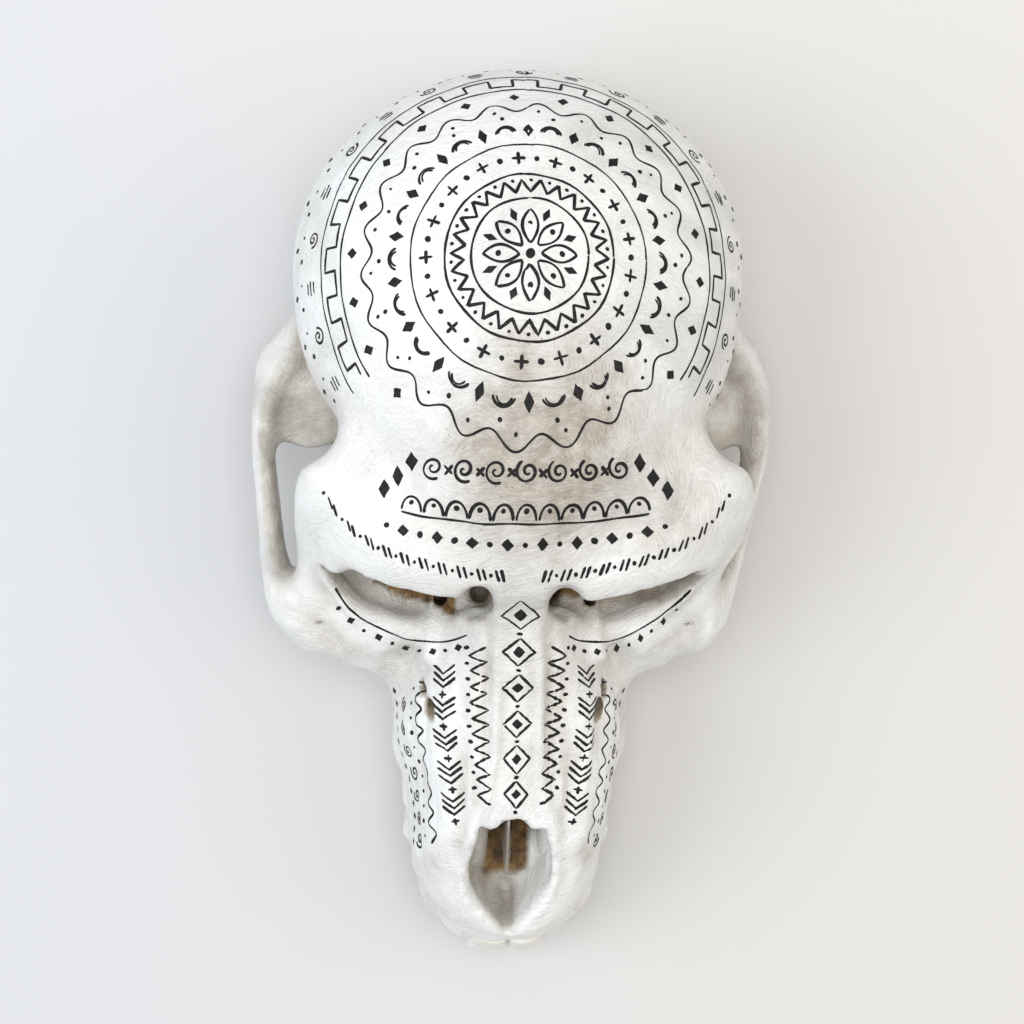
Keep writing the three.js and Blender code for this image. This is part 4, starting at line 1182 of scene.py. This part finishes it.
def draw_vault():
    """Rings of small figures round a rosette on the crown."""
    sheet = over_crown
    crosses, crescents, wave = 18.4, 24.6, 30.4
    draw_rosette(sheet)
    ring(sheet, 10.4, 0.26)
    a, r = zigzag(11.6, 14.0, 26, (0.1, FULL + 0.1))
    round_line(sheet, r, a, 0.32)
    ring(sheet, 15.1, 0.26)
    for i in range(26):
        dot(sheet, round_about(13.9, 0.1 + i * FULL / 26), 0.36)
    for i in range(17):
        a = 0.2 + i * FULL / 17
        cross(sheet, round_about(crosses, a), a, 1.3, 0.34)
        dot(sheet, round_about(crosses, a + FULL / 34), 0.55)
    ring(sheet, 21.4, 0.22)
    for i in range(18):
        a = i * FULL / 18
        between = a + FULL / 36
        crescent(sheet, round_about(crescents, a), a - math.pi / 2, 2.0)
        lozenge(sheet, round_about(crescents, between), between + math.pi / 2, 1.0, 1.7)
        dot(sheet, round_about(27.6, a), 0.42)
    a = np.linspace(0, FULL, 420)
    round_line(sheet, wave + 1.15 * np.sin(22 * a), a, 0.3)
    for i in range(22):
        a = (i + 0.25) * FULL / 22
        between = a + FULL / 44
        dot(sheet, round_about(29.3, a), 0.36)
        if math.sin(between) > -0.8:
            spot(sheet, round_about(33.6, between), diamond(1.15), between)


BAND_START, BAND_STOP = -0.62, math.pi + 0.62


def along_band(count, inset):
    """Angles spread over the outer bands, from inset within one end to inset within the other."""
    step = (BAND_STOP - BAND_START - 2 * inset) / (count - 1)
    return [BAND_START + inset + i * step for i in range(count)]


def draw_outer_bands():
    """Bands low round the back and sides of the vault, open towards the forehead."""
    sheet = over_crown
    figures = 45.6
    for r in (36.2, 41.8):
        round_line(sheet, r, np.linspace(BAND_START, BAND_STOP, 160), 0.24)
    m = meander(34, 1.0)
    a = BAND_START + 0.04 + m[:, 0] / 34 * (BAND_STOP - BAND_START - 0.08)
    round_line(sheet, 37.6 + 2.8 * m[:, 1], a, 0.34)
    for i, a in enumerate(along_band(19, 0.1)):
        at = round_about(figures, a)
        if i % 2:
            spiral(sheet, at, a, 1.9, hand=1 if i % 4 == 1 else -1)
        else:
            for k in (-1.1, 0, 1.1):
                half = 1.7 - 0.4 * abs(k)
                line(sheet, place(at, a, [(k, -half), (k, half)]), 0.32)
    for i, a in enumerate(along_band(40, 0.05)):
        dot(sheet, round_about(49.8, a), 0.62 if i % 2 else 0.36)
    for a in along_band(20, 0.12):
        lozenge(sheet, round_about(53.4, a), a + math.pi / 2, 0.8, 1.8)


def brow_edge(x):
    """Plan line of the front edge of the brow."""
    knots = [(0, -15.2), (8, -14.9), (16, -13.6), (24, -11.6), (30, -8.8), (36, -3.6), (41, 4.0)]
    return curve(np.abs(x), knots)


def tier(x, up):
    """Place on a line that is up mm behind the brow's edge and flatter than it."""
    return x, brow_edge(x) * (1 - up / 44) + up


def draw_forehead():
    """Tiers that follow the curve of the brow."""
    sheet = from_above
    for k, x in enumerate(np.arange(-26.4, 26.5, 3.3)):
        if k % 2:
            spot(sheet, tier(x, 5.3), diamond(1.25))
        else:
            dot(sheet, tier(x, 5.3), 0.62)
    x = np.linspace(-23.5, 23.5, 60)
    line(sheet, np.stack(tier(x, 8.0), 1), 0.3)
    for i in range(11):
        mid = -21.5 + i * 4.3
        a = np.linspace(0, math.pi, 14)
        x = mid + 1.9 * np.cos(a)
        line(sheet, np.stack([x, tier(x, 8.4)[1] + 2.8 * np.sin(a)], 1), 0.34)
        dot(sheet, tier(mid, 9.7), 0.5)
    for i in range(7):
        x = -17.4 + i * 5.8
        spiral(sheet, tier(x, 14.9), 0.5, 2.2, 0.33, hand=1 if x < 0 else -1)
        if i < 6:
            cross(sheet, tier(x + 2.9, 14.7), 0.785, 1.15, 0.38)
    for i in range(6):
        x = (21.5 + 2.7 * (i % 3)) * (1 if i < 3 else -1)
        lozenge(sheet, tier(x, 15.5 - 2.4 * (i % 3)), 0.0, 1.25, 1.6)


def draw_brow_edge():
    """Pairs of slanted strokes with a dot between along the brow, out to its corners."""
    for side in (-1, 1):
        for i in range(10):
            x = side * (4.4 + i * 3.65)
            for k in (-0.52, 0.52):
                x0 = x + side * k
                y0 = brow_edge(x0) + 0.4
                line(from_above, [(x0 - side * 0.35, y0), (x0 + side * 0.35, y0 + 2.3)], 0.34)
            dot(from_above, (x + side * 1.82, brow_edge(x + side * 1.82) + 1.5), 0.4)


def rim_line(x):
    """Plan line just in front of the lower rim of the eye socket."""
    knots = [(4, -20.0), (9, -23.6), (17, -25.2), (25, -23.2), (31, -19.6), (36, -14.5), (40, -8)]
    return curve(np.abs(x), knots)


def draw_sockets():
    """A line, and small squares and dots in turn, below each eye socket."""
    for side in (-1, 1):
        x = side * np.linspace(10, 36, 40)
        line(from_above, np.stack([x, rim_line(x)], 1), 0.24)
        for i in range(10):
            x = side * (11.5 + i * 2.55)
            y = rim_line(x) - 1.9
            if i % 2:
                dot(from_above, (x, y), 0.42)
            else:
                spot(from_above, (x, y), diamond(0.85), 0.3)


def draw_muzzle():
    """Lozenges down the middle of the muzzle, zigzags beside them, chevrons and waves lower down."""
    sheet = round_muzzle
    for i in range(6):
        y = -20.6 - 7.0 * i
        lozenge(sheet, (0, y), 0.0, 2.0, 1.35, filled=False)
        lozenge(sheet, (0, y), 0.0, 0.85, 1.4)
        dot(sheet, (0, y - 3.5), 0.42)
    for side in (-1, 1):
        y, p = zigzag(4.2, 6.6, 10, (-26.5, -57.5))
        line(sheet, np.stack([side * p, y], 1), 0.33)
        for i in range(10):
            dot(sheet, (side * 7.0, -26.5 - 3.1 * i), 0.42)
        for i in range(5):
            y = -31 - 6.4 * i
            for k in (0, 1.35, 2.7):
                chevron = [(9.0, 1.2), (11.2, -0.6), (13.4, 1.2)]
                line(sheet, [(side * p, y - k + q) for p, q in chevron], 0.33)
            cross(sheet, (side * 11.2, y - 4.7), 0.0, 0.8, 0.32)
        y = np.linspace(-33, -66, 120)
        line(sheet, np.stack([side * (17.4 + 0.9 * np.sin(y * 1.5)), y], 1), 0.28)
        for i in range(11):
            dot(sheet, (side * 20.4, -34.5 - 3 * i), 0.5 if i % 2 else 0.34)
        for i in range(7):
            spiral(sheet, (side * 24.0, -38 - 4.6 * i), 0.3 * i, 1.7, hand=side)
        for i in range(13):
            spot(sheet, (side * 28.6, -35 - 2.6 * i), diamond(0.8))


def ribbons():
    """All strokes at once. Section: a flat closed band, its middle highest and its edges sunk."""
    O, V = (np.concatenate([s[i] for s in LINES], 1) for i in range(2))
    wide = np.concatenate([s[2] for s in LINES])
    count = np.array([len(s[2]) for s in LINES])
    first = np.repeat(np.cumsum(count) - count, count)
    last = first + np.repeat(count, count) - 1
    i = np.arange(len(wide))
    P, n = land(O, V)
    T = P[:, np.minimum(i + 1, last)] - P[:, np.maximum(i - 1, first)]
    B = np.cross(n, T, axis=0)
    B = B / (np.linalg.norm(B, axis=0) + 1e-9)
    across = np.array([-1, -0.6, 0, 0.6, 1, 0])
    lift = np.array([INK_EDGE, INK_SHOULDER, INK_TOP, INK_SHOULDER, INK_EDGE, INK_UNDER])
    Q = P[:, :, None] + B[:, :, None] * (wide[:, None] * across)
    Q, n = settle(Q.reshape(3, -1), 1)
    Q = finish_points(Q, n, np.tile(lift, len(wide)))
    k = np.arange(6)
    a = i[i < last][:, None] * 6
    body = np.stack([a + k, a + 6 + k, a + 6 + (k + 1) % 6, a + (k + 1) % 6], 2).reshape(-1, 4)
    head = np.unique(first)[:, None] * 6
    tail = np.unique(last)[:, None] * 6
    caps = [head + np.array([0, 1, 2, 3]), head + np.array([0, 3, 4, 5]),
            tail + np.array([3, 2, 1, 0]), tail + np.array([5, 4, 3, 0])]
    return Q, np.concatenate([body, *caps])


def domes():
    """All filled marks at once: a low dome of three rings with a closed underside."""
    O, V = (np.concatenate([s[i] for s in SPOTS], 1) for i in range(2))
    rings = np.repeat([INK_TOP, INK_SHOULDER, INK_EDGE], SPOT_SIDES)
    lift = np.concatenate([[INK_TOP], rings, [INK_UNDER]])
    P, n = land(O, V)
    P = finish_points(P, n, np.tile(lift, len(SPOTS)))
    one = closed_tube(3, SPOT_SIDES)[:, ::-1]
    start = np.arange(len(SPOTS))[:, None, None] * len(lift)
    return P, np.where(one >= 0, one + start, -1).reshape(-1, 4)


def ink_piece(name, *draws):
    """Draws figures and turns all their marks into one piece."""
    LINES.clear()
    SPOTS.clear()
    for draw in draws:
        draw()
    P, faces, _ = joined([(*ribbons(), np.zeros(0)), (*domes(), np.zeros(0))])
    piece(name, rest(P), faces, INK)


ink_piece("ink_vault", draw_vault, draw_outer_bands)
ink_piece("ink_face", draw_forehead, draw_brow_edge, draw_sockets)
ink_piece("ink_muzzle", draw_muzzle)

# Floor, light, camera

FLOOR_HALF = 1.6
FLOOR_LEVEL = -0.0002
FADE = 3.2


def pale_floor():
    """Matt floor with painted light: cool on the left and warm on the right as the lamps tint it, and
    painted shade a little darker towards the camera.
    """
    m, t, s, co = material("pale_floor")
    parts = node(t, "ShaderNodeSeparateXYZ")
    t.links.new(co, parts.inputs[0])
    across = maths(t, "ADD", maths(t, "MULTIPLY", parts.outputs["X"], FADE), 0.5)
    along = maths(t, "ADD", maths(t, "MULTIPLY", parts.outputs["Y"], FADE), 0.5)
    # Painted light: cool to warm from left to right.
    sides = mix(t, ramp(t, across, [(0, 0), (1, 1)]), *FLOOR_LIGHT_TINTS)
    # Painted shade: a little darker towards the camera.
    colour = mix(t, ramp(t, along, [(0, 0.95), (1, 1)]), (0, 0, 0), sides)
    t.links.new(colour, s.inputs["Base Color"])
    s.inputs["Roughness"].default_value = 0.9
    return m


def floor_sheet():
    """The floor: a flat square just below the bone."""
    corners = [(-1, -1), (1, -1), (1, 1), (-1, 1)]
    points = [(x * FLOOR_HALF, y * FLOOR_HALF, FLOOR_LEVEL) for x, y in corners]
    mesh = bpy.data.meshes.new("floor")
    mesh.from_pydata(points, [], [(0, 1, 2, 3)])
    mesh.materials.append(pale_floor())
    obj = bpy.data.objects.new("floor", mesh)
    bpy.context.scene.collection.objects.link(obj)


def area_light(name, at, aim, size, power, colour):
    """Square soft light at a place, turned to a point."""
    lamp = bpy.data.lights.new(name, "AREA")
    lamp.size = size
    lamp.energy = power
    lamp.color = colour
    obj = bpy.data.objects.new(name, lamp)
    bpy.context.scene.collection.objects.link(obj)
    back = np.array(at) - np.array(aim)
    back /= np.linalg.norm(back)
    obj.matrix_world = facing(at, back, (0, 1, 0))


def facing(at, back, near_up):
    """Matrix of an object at a place whose -Z looks away from back."""
    right = np.cross(near_up, back)
    right = right / np.linalg.norm(right)
    up = np.cross(back, right)
    m = Matrix(np.stack([right, up, back], 1).tolist()).to_4x4()
    m.translation = [float(v) for v in at]
    return m


def turned(v):
    """A direction of the bone's frame, tipped back as the bone is."""
    c, s = math.cos(TIP), math.sin(TIP)
    return np.array([v[0], v[1] * c + v[2] * s, -v[1] * s + v[2] * c])


# The camera: its angles round the bone, how far away it is in mm, the point in the bone's frame
# that it is aimed at, its lens in pixels of a picture PICTURE_PX wide, and its sensor in mm

CAMERA = dict(side=-0.05264, front=1.47597, roll=0.001287, away=400.0)
CAMERA_AIM = np.array([-1.0876, 0.6749, 50.0])
LENS_PX = 1994.92
PICTURE_PX = 1024
SENSOR = 36


def set_camera():
    """Camera at the photo's angle to the bone, looking down on it."""
    a, b = CAMERA["side"], CAMERA["front"]
    back = np.array([math.sin(a), -math.cos(a) * math.cos(b), math.cos(a) * math.sin(b)])
    right = np.cross((0, 1, 0), back)
    right /= np.linalg.norm(right)
    up = np.cross(back, right)
    up = -right * math.sin(CAMERA["roll"]) + up * math.cos(CAMERA["roll"])
    at = rest((CAMERA_AIM + back * CAMERA["away"])[:, None])[:, 0]
    data = bpy.data.cameras.new("camera")
    data.sensor_width = SENSOR
    data.lens = LENS_PX / PICTURE_PX * SENSOR
    data.clip_start, data.clip_end = 0.01, 20
    obj = bpy.data.objects.new("camera", data)
    bpy.context.scene.collection.objects.link(obj)
    obj.matrix_world = facing(at, turned(back), turned(up))
    bpy.context.scene.camera = obj


LIGHT_AIM = (0, 0, 0.04)
LIGHTS = dict(
    ceiling=dict(at=(0.0, 0.2, 1.5), size=0.9, power=10.6, colour=(1.0, 1.0, 1.0)),
    window=dict(at=(-0.9, 0.0, 0.95), size=0.8, power=8.2, colour=(0.90, 0.96, 1.0)),
    fill=dict(at=(1.05, 0.1, 0.9), size=1.1, power=5.0, colour=(1.0, 0.92, 0.80)),
)


def set_light():
    """Pale world, a light from above, a cool one from the left and a weak warm one from the right."""
    world = bpy.data.worlds.new("studio")
    world.use_nodes = True
    shade = world.node_tree.nodes["Background"]
    shade.inputs["Color"].default_value = (0.97, 0.985, 1.0, 1)
    shade.inputs["Strength"].default_value = 0.53
    bpy.context.scene.world = world
    for name, light in LIGHTS.items():
        area_light(name, aim=LIGHT_AIM, **light)
    bpy.context.scene.view_settings.view_transform = "Standard"


floor_sheet()
set_camera()
set_light()
